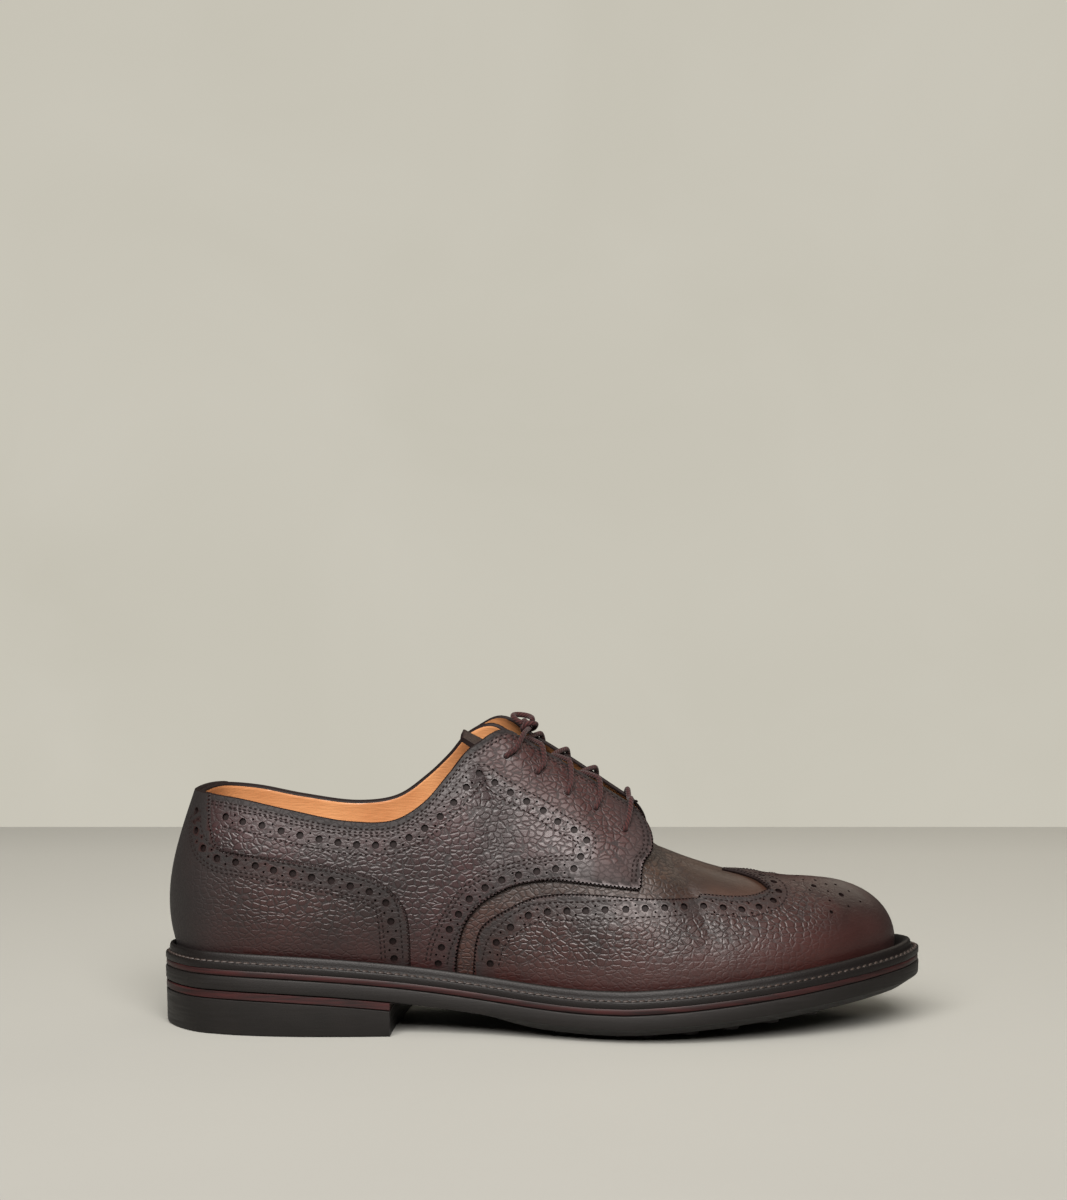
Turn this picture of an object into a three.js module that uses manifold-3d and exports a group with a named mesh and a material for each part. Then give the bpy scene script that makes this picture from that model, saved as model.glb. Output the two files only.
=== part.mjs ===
// Wing-tip brogue derby shoe for the right foot, in millimetres.
// The toe points along +X, the inner (medial) side lies at +Y and the floor is the plane Z = 0.
// The origin lies under the middle of the shoe's box.

import * as THREE from 'three';
import Module from 'manifold-3d';

const wasm = await Module();
wasm.setup();

// Length, width and height of the last.
const soleLength = 303;
const ballWidth = 105;
const instepHeight = 98;
const toeSpring = 13;

// The stack under the foot, from the floor up.
const studHeight = 2.5;
const studRadius = 4.5;
const soleCrown = 3;
const heelBlockHeight = 13.8;
const liftThickness = 2.9;
const outsoleEdge = 5.7;
const midsoleThickness = 2.1;
const weltThickness = 2.6;
const insoleThickness = 3;

// The welt's reach from the sole edge to the inner foot of its bead, and the bead's height.
const weltReach = 6.2;
const beadHeight = 3.5;
const weltSeat = 9;

// Leather thicknesses.
const upperWall = 2.2;
const overlayThickness = 1.3;
const counterThickness = 1.9;
const tongueThickness = 2;

// Lacing.
const laceDiameter = 2.2;
const eyeletRadius = 1.7;

// Running gap between neighbouring pieces.
const gap = 0.3;

const stackThickness = outsoleEdge + midsoleThickness + weltThickness + 2 * gap;
const ballLevel = studHeight + soleCrown + stackThickness;
const heelRise = heelBlockHeight + liftThickness + 2 * gap - studHeight - soleCrown;

// Sections of the last from the heel (first row) to the toe (last row). along is a share of the
// sole length, lateral and medial give the sole edge as shares of the ball width. reach is the
// welt's share of weltReach. full gives the side's swell: the lower curve's reach outwards (share
// of ball width) and upwards (share of instep height), then the upper curve's reach outwards and
// downwards.
const sections = [
  { along: 0.000, lateral: 0.029, medial: 0.029, reach: 0.62, full: [0.078, 0.22, 0.076, 0.245] },
  { along: 0.040, lateral: -0.190, medial: 0.238, reach: 0.64, full: [0.076, 0.21, 0.068, 0.23] },
  { along: 0.095, lateral: -0.272, medial: 0.310, reach: 0.68, full: [0.072, 0.20, 0.058, 0.21] },
  { along: 0.170, lateral: -0.310, medial: 0.336, reach: 0.72, full: [0.066, 0.19, 0.046, 0.19] },
  { along: 0.250, lateral: -0.314, medial: 0.335, reach: 0.76, full: [0.062, 0.18, 0.040, 0.18] },
  { along: 0.320, lateral: -0.305, medial: 0.331, reach: 0.82, full: [0.060, 0.18, 0.040, 0.18] },
  { along: 0.380, lateral: -0.312, medial: 0.337, reach: 0.88, full: [0.056, 0.20, 0.050, 0.20] },
  { along: 0.430, lateral: -0.333, medial: 0.357, reach: 0.94, full: [0.052, 0.22, 0.070, 0.21] },
  { along: 0.475, lateral: -0.367, medial: 0.386, reach: 0.98, full: [0.048, 0.24, 0.095, 0.20] },
  { along: 0.515, lateral: -0.400, medial: 0.417, reach: 1.00, full: [0.046, 0.25, 0.120, 0.17] },
  { along: 0.550, lateral: -0.429, medial: 0.446, reach: 1.00, full: [0.046, 0.25, 0.140, 0.14] },
  { along: 0.590, lateral: -0.455, medial: 0.476, reach: 1.00, full: [0.046, 0.24, 0.150, 0.11] },
  { along: 0.630, lateral: -0.470, medial: 0.501, reach: 1.00, full: [0.046, 0.23, 0.155, 0.08] },
  { along: 0.675, lateral: -0.472, medial: 0.520, reach: 1.02, full: [0.046, 0.21, 0.180, 0.05] },
  { along: 0.720, lateral: -0.457, medial: 0.524, reach: 1.04, full: [0.046, 0.20, 0.230, 0.02] },
  { along: 0.770, lateral: -0.427, medial: 0.510, reach: 1.08, full: [0.044, 0.19, 0.245, 0.01] },
  { along: 0.825, lateral: -0.376, medial: 0.471, reach: 1.12, full: [0.042, 0.18, 0.250, 0.00] },
  { along: 0.880, lateral: -0.300, medial: 0.410, reach: 1.16, full: [0.040, 0.17, 0.255, 0.00] },
  { along: 0.928, lateral: -0.212, medial: 0.340, reach: 1.20, full: [0.036, 0.16, 0.250, 0.00] },
  { along: 0.979, lateral: -0.072, medial: 0.238, reach: 1.24, full: [0.032, 0.16, 0.230, 0.00] },
  { along: 1.000, lateral: 0.086, medial: 0.086, reach: 1.25, full: [0.026, 0.16, 0.205, 0.00] },
];

// The upper's top edge, a row for each section from the heel to the end of the throat. Each side
// has its place along (share of sole length), across (share of ball width) and its rise above the
// welt (share of instep height).
const topEdge = [
  { lateral: [0.046, 0.022, 0.655], medial: [0.046, 0.022, 0.655] },
  { lateral: [0.066, -0.157, 0.654], medial: [0.066, 0.195, 0.663] },
  { lateral: [0.111, -0.231, 0.640], medial: [0.111, 0.260, 0.649] },
  { lateral: [0.173, -0.259, 0.606], medial: [0.173, 0.276, 0.617] },
  { lateral: [0.249, -0.267, 0.577], medial: [0.249, 0.273, 0.604] },
  { lateral: [0.309, -0.265, 0.599], medial: [0.302, 0.267, 0.644] },
  { lateral: [0.348, -0.254, 0.684], medial: [0.342, 0.255, 0.743] },
  { lateral: [0.378, -0.229, 0.802], medial: [0.373, 0.229, 0.846] },
  { lateral: [0.406, -0.181, 0.915], medial: [0.401, 0.192, 0.955] },
  { lateral: [0.437, -0.143, 0.969], medial: [0.434, 0.157, 1.006] },
  { lateral: [0.480, -0.133, 0.891], medial: [0.480, 0.148, 0.934] },
  { lateral: [0.526, -0.133, 0.805], medial: [0.526, 0.148, 0.836] },
  { lateral: [0.579, -0.129, 0.679], medial: [0.579, 0.146, 0.701] },
  { lateral: [0.616, -0.095, 0.599], medial: [0.616, 0.119, 0.609] },
  { lateral: [0.639, 0.019, 0.549], medial: [0.639, 0.019, 0.549] },
];

// The ridge of the vamp, a row for each section from the end of the throat to the toe.
const ridge = [
  { along: 0.639, across: 0.019, rise: 0.549 },
  { along: 0.672, across: 0.022, rise: 0.493 },
  { along: 0.715, across: 0.026, rise: 0.431 },
  { along: 0.757, across: 0.030, rise: 0.387 },
  { along: 0.797, across: 0.035, rise: 0.355 },
  { along: 0.827, across: 0.038, rise: 0.341 },
  { along: 0.850, across: 0.041, rise: 0.328 },
];

// The free edge of the eyelet facings, which stand up over the tongue, a row for each section
// from the one before the throat's top corner.
const facingStart = 8;
const facingEdge = [
  { lateral: [0.406, -0.181, 0.915], medial: [0.401, 0.192, 0.955] },
  { lateral: [0.444, -0.114, 0.984], medial: [0.441, 0.129, 1.021] },
  { lateral: [0.488, -0.086, 0.931], medial: [0.487, 0.105, 0.959] },
  { lateral: [0.536, -0.086, 0.850], medial: [0.533, 0.105, 0.880] },
  { lateral: [0.591, -0.086, 0.746], medial: [0.589, 0.105, 0.767] },
  { lateral: [0.629, -0.086, 0.662], medial: [0.627, 0.105, 0.683] },
  { lateral: [0.655, -0.086, 0.596], medial: [0.653, 0.105, 0.612] },
];

// Cut lines of the overlays seen from the side: along as a share of the sole length, height
// above the floor as a share of the instep height.
const quarterSeam = [
  [0.386, 0.10], [0.387, 0.295], [0.395, 0.414], [0.404, 0.471], [0.422, 0.531], [0.448, 0.579],
  [0.474, 0.607], [0.513, 0.620], [0.552, 0.610], [0.613, 0.590], [0.623, 0.587], [0.624, 0.633],
  [0.628, 0.689], [0.638, 0.724], [0.640, 0.781], [0.634, 0.833], [0.623, 0.878], [0.608, 0.960],
];
const wingSeam = [
  [0.411, 0.10], [0.411, 0.269], [0.415, 0.379], [0.422, 0.430], [0.438, 0.471], [0.458, 0.505],
  [0.487, 0.545], [0.526, 0.563], [0.578, 0.560], [0.630, 0.549], [0.692, 0.544], [0.720, 0.542],
];
const counterSeam = [
  [0.069, 1.10], [0.069, 0.857], [0.073, 0.796], [0.079, 0.750], [0.092, 0.723], [0.145, 0.704],
  [0.197, 0.682], [0.247, 0.655], [0.281, 0.624], [0.304, 0.572], [0.321, 0.500], [0.326, 0.428],
  [0.327, 0.10],
];
// The wing cap's edge over the top of the vamp, seen from above: along and across shares.
const capSeam = [
  [0.700, -0.60], [0.700, -0.235], [0.735, -0.232], [0.770, -0.200], [0.795, -0.140],
  [0.778, -0.070], [0.737, 0.024], [0.778, 0.115], [0.795, 0.185], [0.770, 0.250],
  [0.735, 0.290], [0.700, 0.305], [0.700, 0.60],
];

// Centre line and half width of the tongue, from under the vamp to its free tip.
const tongueRows = [
  { along: 0.662, across: 0.019, rise: 0.480, half: 0.15, sag: 0.034 },
  { along: 0.640, across: 0.019, rise: 0.512, half: 0.16, sag: 0.040 },
  { along: 0.609, across: 0.018, rise: 0.565, half: 0.18, sag: 0.045 },
  { along: 0.566, across: 0.016, rise: 0.675, half: 0.19, sag: 0.055 },
  { along: 0.530, across: 0.014, rise: 0.765, half: 0.19, sag: 0.055 },
  { along: 0.493, across: 0.012, rise: 0.838, half: 0.17, sag: 0.050 },
  { along: 0.460, across: 0.010, rise: 0.888, half: 0.165, sag: 0.045 },
  { along: 0.434, across: 0.010, rise: 0.928, half: 0.155, sag: 0.035 },
  { along: 0.394, across: 0.010, rise: 0.975, half: 0.14, sag: 0.020 },
];

// Eyelets: place counts sections from the heel, depth is the share of the profile up from the welt.
const eyelets = [
  { place: 9.25, depth: 0.90 },
  { place: 10.05, depth: 0.90 },
  { place: 10.80, depth: 0.90 },
  { place: 11.50, depth: 0.90 },
  { place: 12.25, depth: 0.89 },
];

// The heel's breast: its place on the middle line, its slant and its hollow.
const breast = { along: 0.316, slant: 0.08, hollow: 2 };

const lastRow = sections.length - 1;
const throatRow = topEdge.length - 1;
const stepsPerRow = 2;
const ringCount = 2 * lastRow * stepsPerRow;
const profileSteps = 6;

const xAt = (along) => (along - 0.5) * soleLength;
const alongAt = (x) => x / soleLength + 0.5;
const yAt = (across) => across * ballWidth;

// Height of the welt's top: level at the ball, rising to the heel and springing to the toe.
const archEnd = 0.57;
const archPower = 1.5;
const springStart = 0.6;
const springPower = 1.25;
function weltTop(along) {
  const arch = Math.pow(THREE.MathUtils.clamp(along / archEnd, 0, 1), archPower);
  const heelShare = 1 - THREE.MathUtils.smoothstep(arch, 0, 1);
  const spring = THREE.MathUtils.clamp((along - springStart) / (1 - springStart), 0, 1.1);
  return ballLevel + heelRise * heelShare + toeSpring * Math.pow(spring, springPower);
}

function lastPoint([along, across, rise]) {
  const x = xAt(along);
  return new THREE.Vector3(x, yAt(across), weltTop(along) + rise * instepHeight);
}

// Smooth value between the rows of a list, at a place counted in rows.
function smoothAt(values, place) {
  const last = values.length - 1;
  const row = Math.min(Math.floor(place), last - 1);
  const part = place - row;
  const before = values[Math.max(row - 1, 0)];
  const from = values[row];
  const to = values[row + 1];
  const after = values[Math.min(row + 2, last)];
  const square = (2 * before - 5 * from + 4 * to - after) * part * part;
  const cube = (3 * from - before - 3 * to + after) * part * part * part;
  return 0.5 * (2 * from + (to - before) * part + square + cube);
}

const smoothCurve = (points, closed) => new THREE.CatmullRomCurve3(points, closed, 'centripetal');

// The sole edge, counter-clockwise from the back of the heel along the lateral side.
const medialRows = sections.slice(1, lastRow).reverse();
const soleEdge = smoothCurve([
  ...sections.map((row) => new THREE.Vector3(xAt(row.along), yAt(row.lateral), 0)),
  ...medialRows.map((row) => new THREE.Vector3(xAt(row.along), yAt(row.medial), 0)),
], true);

// The top edge runs from the throat along the medial side round the heel to the lateral side.
const medialTop = topEdge.slice(1).reverse();
const topCurve = smoothCurve([
  ...medialTop.map((row) => lastPoint(row.medial)),
  ...topEdge.map((row) => lastPoint(row.lateral)),
], false);
const ridgeCurve = smoothCurve(ridge.map((row) => lastPoint([row.along, row.across, row.rise])), false);

const facingCurves = {
  lateral: smoothCurve(facingEdge.map((row) => lastPoint(row.lateral)), false),
  medial: smoothCurve(facingEdge.map((row) => lastPoint(row.medial)), false),
};

// A ring step as its side and its place counted in sections from the heel.
function stationOf(step) {
  const index = (step + ringCount) % ringCount;
  const half = ringCount / 2;
  const lateral = index <= half;
  return { side: lateral ? 'lateral' : 'medial', place: (lateral ? index : ringCount - index) / stepsPerRow };
}

function edgeFrame(step) {
  const around = ((step + ringCount) % ringCount) / ringCount;
  const nudge = 0.0005;
  const ahead = soleEdge.getPoint((around + nudge) % 1);
  const behind = soleEdge.getPoint((around + 1 - nudge) % 1);
  const tangent = ahead.sub(behind).normalize();
  return { point: soleEdge.getPoint(around), outward: new THREE.Vector3(tangent.y, -tangent.x, 0) };
}

function edgePoint(step, inset) {
  const { point, outward } = edgeFrame(step);
  return point.addScaledVector(outward, -inset);
}

const reachAt = (step) => weltReach * smoothAt(sections.map((row) => row.reach), stationOf(step).place);

function topPoint(side, place) {
  if (place >= throatRow) {
    return ridgeCurve.getPoint((place - throatRow) / (lastRow - throatRow));
  }
  const offset = side === 'lateral' ? place : -place;
  return topCurve.getPoint((throatRow + offset) / (2 * throatRow));
}

// The upper's foot stands this far inside the bead, so that its swell clears the bead.
const footClearance = 3.7;
const fullness = [0, 1, 2, 3].map((column) => sections.map((row) => row.full[column]));

// One profile of the upper, from the welt (share 0) to the top edge (share 1).
function profileCurve(step) {
  const { side, place } = stationOf(step);
  const { outward } = edgeFrame(step);
  const foot = edgePoint(step, reachAt(step) + footClearance);
  foot.z = weltTop(alongAt(foot.x)) + gap;
  const top = topPoint(side, place);
  const [lowOut, lowUp, highOut, highDown] = fullness.map((column) => smoothAt(column, place));
  const low = foot.clone().addScaledVector(outward, lowOut * ballWidth);
  low.z += lowUp * instepHeight;
  const away = new THREE.Vector3(foot.x - top.x, foot.y - top.y, 0).normalize();
  const direction = place < facingStart ? outward : away;
  const high = top.clone().addScaledVector(direction, highOut * ballWidth);
  high.z -= highDown * instepHeight;
  return new THREE.CubicBezierCurve3(foot, low, high, top);
}

// How far the facing stands away from the upper's own top edge.
function facingLift(side, place) {
  if (place <= facingStart || place > throatRow) {
    return new THREE.Vector3();
  }
  const free = facingCurves[side].getPoint((place - facingStart) / (throatRow - facingStart));
  return free.sub(topPoint(side, place));
}

// The outward direction of the upper's surface.
function surfaceNormal(step, share) {
  const nudge = 0.1;
  const top = Math.min(share + nudge / 2, 1);
  const bottom = Math.max(share - nudge / 2, 0);
  const around = profileCurve(step + nudge).getPoint(share).sub(profileCurve(step - nudge).getPoint(share));
  const up = profileCurve(step).getPoint(top).sub(profileCurve(step).getPoint(bottom));
  return around.cross(up).normalize();
}

// The upper's surface. The facings' own surface, when lifted, leaves it towards their free edge
// and never dips below it.
const liftStart = 0.5;
const liftClearance = 0.9;
function surfacePoint(step, share, lifted) {
  const point = profileCurve(step).getPoint(share);
  const { side, place } = stationOf(step);
  const lift = facingLift(side, place);
  if (lifted && lift.length() > 0) {
    const normal = surfaceNormal(step, share);
    const part = THREE.MathUtils.smoothstep(share, liftStart, 1);
    const sunk = Math.min(lift.dot(normal), 0);
    point.addScaledVector(lift.addScaledVector(normal, liftClearance - sunk), part);
  }
  return point;
}

// Points and outward normals of the whole upper, ring step by profile step.
function upperSheet(lifted) {
  const points = [];
  for (let step = 0; step < ringCount; step += 1) {
    const row = [];
    for (let rung = 0; rung <= profileSteps; rung += 1) {
      row.push(surfacePoint(step, rung / profileSteps, lifted));
    }
    points.push(row);
  }
  const normals = points.map((row, step) => row.map((point, rung) => {
    const { place } = stationOf(step);
    if (rung === profileSteps && place >= throatRow && !(lifted && place === throatRow)) {
      const slope = ridgeCurve.getTangent(Math.min((place - throatRow) / (lastRow - throatRow), 1));
      return new THREE.Vector3(-slope.z, 0, slope.x).normalize();
    }
    const next = points[(step + 1) % ringCount][rung];
    const previous = points[(step + ringCount - 1) % ringCount][rung];
    const above = row[Math.min(rung + 1, profileSteps)];
    const below = row[Math.max(rung - 1, 0)];
    const normal = next.clone().sub(previous).cross(above.clone().sub(below));
    if (rung === 0) {
      normal.z = 0;
    }
    return normal.normalize();
  }));
  return { points, normals };
}

const pushed = (sheet, step, rung, distance) =>
  sheet.points[step][rung].clone().addScaledVector(sheet.normals[step][rung], distance);

// Collects triangles, joins corners that coincide, and turns the faces outwards.
function solidGeometry(triangles) {
  const perMillimetre = 2000;
  const places = new Map();
  const positions = [];
  const indices = [];
  const cornerOf = (point) => {
    const key = point.toArray().map((value) => Math.round(value * perMillimetre)).join();
    if (!places.has(key)) {
      places.set(key, positions.length / 3);
      positions.push(point.x, point.y, point.z);
    }
    return places.get(key);
  };
  let volume = 0;
  for (const [a, b, c] of triangles) {
    const corners = [a, b, c].map(cornerOf);
    if (new Set(corners).size === 3) {
      indices.push(corners);
      volume += a.dot(b.clone().cross(c));
    }
  }
  const geometry = new THREE.BufferGeometry();
  geometry.setAttribute('position', new THREE.Float32BufferAttribute(positions, 3));
  geometry.setIndex(indices.flatMap(([a, b, c]) => (volume > 0 ? [a, b, c] : [a, c, b])));
  return geometry;
}

function addQuad(triangles, a, b, c, d) {
  triangles.push([a, b, c], [a, c, d]);
}

// The hollow wall between two distances from the upper's surface.
function upperWallGeometry(sheet, inner, outer, firstRidge) {
  const triangles = [];
  for (let step = 0; step < ringCount; step += 1) {
    const next = (step + 1) % ringCount;
    for (let rung = 0; rung < profileSteps; rung += 1) {
      addQuad(triangles, pushed(sheet, step, rung, outer), pushed(sheet, next, rung, outer),
        pushed(sheet, next, rung + 1, outer), pushed(sheet, step, rung + 1, outer));
      addQuad(triangles, pushed(sheet, step, rung, inner), pushed(sheet, step, rung + 1, inner),
        pushed(sheet, next, rung + 1, inner), pushed(sheet, next, rung, inner));
    }
    addQuad(triangles, pushed(sheet, step, 0, inner), pushed(sheet, next, 0, inner),
      pushed(sheet, next, 0, outer), pushed(sheet, step, 0, outer));
    const open = Math.min(stationOf(step).place, stationOf(next).place) < firstRidge;
    if (open) {
      addQuad(triangles, pushed(sheet, step, profileSteps, outer), pushed(sheet, next, profileSteps, outer),
        pushed(sheet, next, profileSteps, inner), pushed(sheet, step, profileSteps, inner));
    }
  }
  return solidGeometry(triangles);
}

// A closed plate within the sole edge. Each rim row has its inset and its level at a place along.
function plateGeometry(rim) {
  const ring = (step, row) => {
    const point = edgePoint(step, row.inset(step));
    point.z = row.level(alongAt(point.x));
    return point;
  };
  const triangles = [];
  for (let step = 0; step < ringCount; step += 1) {
    const next = (step + 1) % ringCount;
    for (let row = 0; row + 1 < rim.length; row += 1) {
      addQuad(triangles, ring(step, rim[row]), ring(step, rim[row + 1]),
        ring(next, rim[row + 1]), ring(next, rim[row]));
    }
  }
  for (let step = 0; step < ringCount / 2; step += 1) {
    const across = ringCount - step;
    const top = rim[0];
    const bottom = rim[rim.length - 1];
    addQuad(triangles, ring(step, top), ring(step + 1, top), ring(across - 1, top), ring(across, top));
    addQuad(triangles, ring(across, bottom), ring(across - 1, bottom), ring(step + 1, bottom),
      ring(step, bottom));
  }
  return solidGeometry(triangles);
}

// A band that follows the sole edge, swept from a closed section of insets and rises.
function bandGeometry(section) {
  const ring = (step, corner) => {
    const point = edgePoint(step, corner.inset(step));
    point.z = weltTop(alongAt(point.x)) + corner.rise;
    return point;
  };
  const triangles = [];
  for (let step = 0; step < ringCount; step += 1) {
    const next = (step + 1) % ringCount;
    section.forEach((corner, index) => {
      const following = section[(index + 1) % section.length];
      addQuad(triangles, ring(step, corner), ring(step, following),
        ring(next, following), ring(next, corner));
    });
  }
  return solidGeometry(triangles);
}

function toSolid(geometry) {
  const vertProperties = new Float32Array(geometry.getAttribute('position').array);
  const triVerts = new Uint32Array(geometry.getIndex().array);
  return new wasm.Manifold(new wasm.Mesh({ numProp: 3, vertProperties, triVerts }));
}

function toGeometry(solid) {
  const mesh = solid.getMesh();
  const geometry = new THREE.BufferGeometry();
  geometry.setAttribute('position', new THREE.Float32BufferAttribute(mesh.vertProperties, 3));
  geometry.setIndex(Array.from(mesh.triVerts));
  return geometry;
}

// Any closed three.js geometry as one whose corners are joined.
function joined(geometry, placed = new THREE.Matrix4()) {
  const flat = geometry.index ? geometry.toNonIndexed() : geometry;
  const position = flat.getAttribute('position');
  const corner = (index) => new THREE.Vector3().fromBufferAttribute(position, index).applyMatrix4(placed);
  const triangles = [];
  for (let index = 0; index < position.count; index += 3) {
    triangles.push([corner(index), corner(index + 1), corner(index + 2)]);
  }
  return solidGeometry(triangles);
}

// A plan or side outline drawn out into a prism. Side outlines run along Y from yFrom to yTo.
const farOut = 200;
function sidePrism(outline, yFrom, yTo) {
  const shape = new THREE.Shape(outline.map(([along, height]) =>
    new THREE.Vector2(xAt(along), height * instepHeight)));
  const geometry = new THREE.ExtrudeGeometry(shape, { depth: yTo - yFrom, bevelEnabled: false });
  const upright = new THREE.Matrix4().makeRotationX(Math.PI / 2);
  const placed = new THREE.Matrix4().makeTranslation(0, yTo, 0).multiply(upright);
  return toSolid(joined(geometry, placed));
}

function planPrism(points, zFrom, zTo) {
  const shape = new THREE.Shape(points.map(([x, y]) => new THREE.Vector2(x, y)));
  const geometry = new THREE.ExtrudeGeometry(shape, { depth: zTo - zFrom, bevelEnabled: false });
  return toSolid(joined(geometry, new THREE.Matrix4().makeTranslation(0, 0, zFrom)));
}

// Welt: a flat lip, an upstanding bead and a flat seat that runs under the upper and the insole.
const weltSection = [
  { inset: () => 0, rise: -weltThickness },
  { inset: () => 0.3, rise: 0 },
  { inset: (step) => 0.38 * reachAt(step), rise: 0 },
  { inset: (step) => 0.50 * reachAt(step), rise: 0.95 * beadHeight },
  { inset: (step) => 0.78 * reachAt(step), rise: beadHeight },
  { inset: (step) => reachAt(step), rise: 0 },
  { inset: (step) => reachAt(step) + footClearance + weltSeat, rise: 0 },
  { inset: (step) => reachAt(step) + footClearance + weltSeat, rise: -weltThickness },
];

const midsoleTop = (along) => weltTop(along) - weltThickness - gap;
const outsoleTop = (along) => midsoleTop(along) - midsoleThickness - gap;
const rimBottom = (along) => outsoleTop(along) - outsoleEdge;
const crownStart = 0.38;
const crownEnd = 0.5;
const crownAt = (along) => soleCrown * THREE.MathUtils.smoothstep(along, crownStart, crownEnd);
const treadLevel = (along) => rimBottom(along) - crownAt(along);
const constant = (value) => () => value;

const weltGeometry = bandGeometry(weltSection);
const midsoleInset = 0.5;
const midsoleGeometry = plateGeometry([
  { inset: constant(midsoleInset), level: midsoleTop },
  { inset: constant(midsoleInset), level: (along) => midsoleTop(along) - midsoleThickness },
]);

// Outsole: an upright edge, a bevel down to the crowned tread, and round studs.
const treadInset = 6;
function outsoleGeometry() {
  const plate = toSolid(plateGeometry([
    { inset: constant(0.5), level: outsoleTop },
    { inset: constant(0), level: (along) => outsoleTop(along) - 0.5 },
    { inset: constant(0.3), level: rimBottom },
    { inset: constant(treadInset), level: treadLevel },
  ]));
  return toGeometry(studPlaces().reduce((sole, stud) => sole.add(studSolid(stud)), plate));
}

// Stud rows across the tread, from the waist to the toe. The rows keep clear of the bevel.
const studPitch = 15.8;
const studAcross = 20;
const studFirst = 24;
const studRowsBehind = 1;
const studRowsAhead = 5;
const studInset = 17;
function studPlaces() {
  const places = [];
  for (let row = -studRowsBehind; row <= studRowsAhead; row += 1) {
    const x = studFirst + row * studPitch;
    const [low, high] = treadSpan(x, studInset);
    const count = Math.max(Math.floor((high - low) / studAcross) + 1, 1);
    const spread = count > 1 ? (high - low) / (count - 1) : 0;
    for (let index = 0; index < count; index += 1) {
      places.push([x, count > 1 ? low + index * spread : (low + high) / 2]);
    }
  }
  return places;
}

// The tread's reach across at x, held back by an inset on both sides.
function treadSpan(x, inset) {
  let low = Infinity;
  let high = -Infinity;
  for (let step = 0; step < ringCount; step += 1) {
    const from = edgePoint(step, inset);
    const to = edgePoint(step + 1, inset);
    if ((from.x - x) * (to.x - x) <= 0 && from.x !== to.x) {
      const y = from.y + (to.y - from.y) * (x - from.x) / (to.x - from.x);
      low = Math.min(low, y);
      high = Math.max(high, y);
    }
  }
  return [low, high];
}

const studSides = 8;
const studRoot = 2;
function studSolid([x, y]) {
  const height = studHeight + studRoot;
  const geometry = new THREE.CylinderGeometry(studRadius, studRadius - 0.5, height, studSides);
  const foot = treadLevel(alongAt(x)) - studHeight;
  const upright = new THREE.Matrix4().makeRotationX(Math.PI / 2);
  const placed = new THREE.Matrix4().makeTranslation(x, y, foot + height / 2).multiply(upright);
  return toSolid(joined(geometry, placed));
}

// Everything behind the heel's breast, which slants and is slightly hollow.
function behindBreast(shift) {
  const points = [];
  const breastSteps = 6;
  for (let index = 0; index <= breastSteps; index += 1) {
    const across = index / breastSteps - 0.5;
    const y = across * ballWidth;
    const hollow = breast.hollow * (1 - 4 * across * across);
    points.push([xAt(breast.along) + y * breast.slant - hollow + shift, y]);
  }
  return planPrism([...points, [-farOut, ballWidth / 2], [-farOut, -ballWidth / 2]], -1, farOut);
}

const liftTop = (along) => rimBottom(along) - gap;
const blockTop = (along) => liftTop(along) - liftThickness - gap;
const liftSolid = toSolid(plateGeometry([
  { inset: constant(0.4), level: liftTop },
  { inset: constant(0.4), level: (along) => liftTop(along) - liftThickness },
])).intersect(behindBreast(0));
const blockSolid = toSolid(plateGeometry([
  { inset: constant(0.4), level: (along) => Math.max(blockTop(along), 1) },
  { inset: constant(0.9), level: () => 0 },
])).intersect(behindBreast(0));

// Insole, inside the upper on the welt's seat.
const insoleClearance = 0.5;
const insoleInset = (step) => reachAt(step) + footClearance + upperWall + insoleClearance;
const insoleGeometry = plateGeometry([
  { inset: insoleInset, level: (along) => weltTop(along) + gap + insoleThickness },
  { inset: insoleInset, level: (along) => weltTop(along) + gap },
]);

// Upper and the overlays cut from its own surface.
const baseSheet = upperSheet(false);
const facingSheet = upperSheet(true);
const upperGeometry = upperWallGeometry(baseSheet, -upperWall, 0, throatRow);
const middle = yAt(sections[0].lateral);

const counterArea = [...counterSeam, [-0.1, 0.10], [-0.1, 1.10]];
const counterSolid = toSolid(upperWallGeometry(baseSheet, gap, gap + counterThickness, throatRow))
  .intersect(sidePrism(counterArea, -farOut, farOut));

// The counter's cut line moved outwards by the gap, for the quarters that meet it.
const counterGap = counterSeam.map(([along, height]) =>
  [along + gap / soleLength, height + 1.6 * gap / instepHeight]);
const counterRoom = [...counterGap, [-0.1, 0.10], [-0.1, 1.20]];

function quarterSolid(side) {
  const [yFrom, yTo] = side === 'lateral' ? [-farOut, middle] : [middle, farOut];
  const area = [...quarterSeam, [0.608, 1.4], [-0.1, 1.4], [-0.1, 0.10]];
  let solid = toSolid(upperWallGeometry(facingSheet, gap, gap + overlayThickness, throatRow + 0.5))
    .intersect(sidePrism(area, yFrom, yTo))
    .subtract(sidePrism(counterRoom, -farOut, farOut));
  for (const eyelet of eyelets) {
    solid = solid.subtract(eyeletSolid(side, eyelet));
  }
  return solid;
}

const wingArea = [...wingSeam, [0.720, 0.10]];
const wingWall = toSolid(upperWallGeometry(baseSheet, gap, gap + overlayThickness, throatRow));
const capArea = [...capSeam, [1.1, 0.60], [1.1, -0.60]].map(([along, across]) => [xAt(along), yAt(across)]);
const wingSolid = wingWall.intersect(sidePrism(wingArea, -farOut, farOut).add(planPrism(capArea, 0, farOut)));

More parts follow.
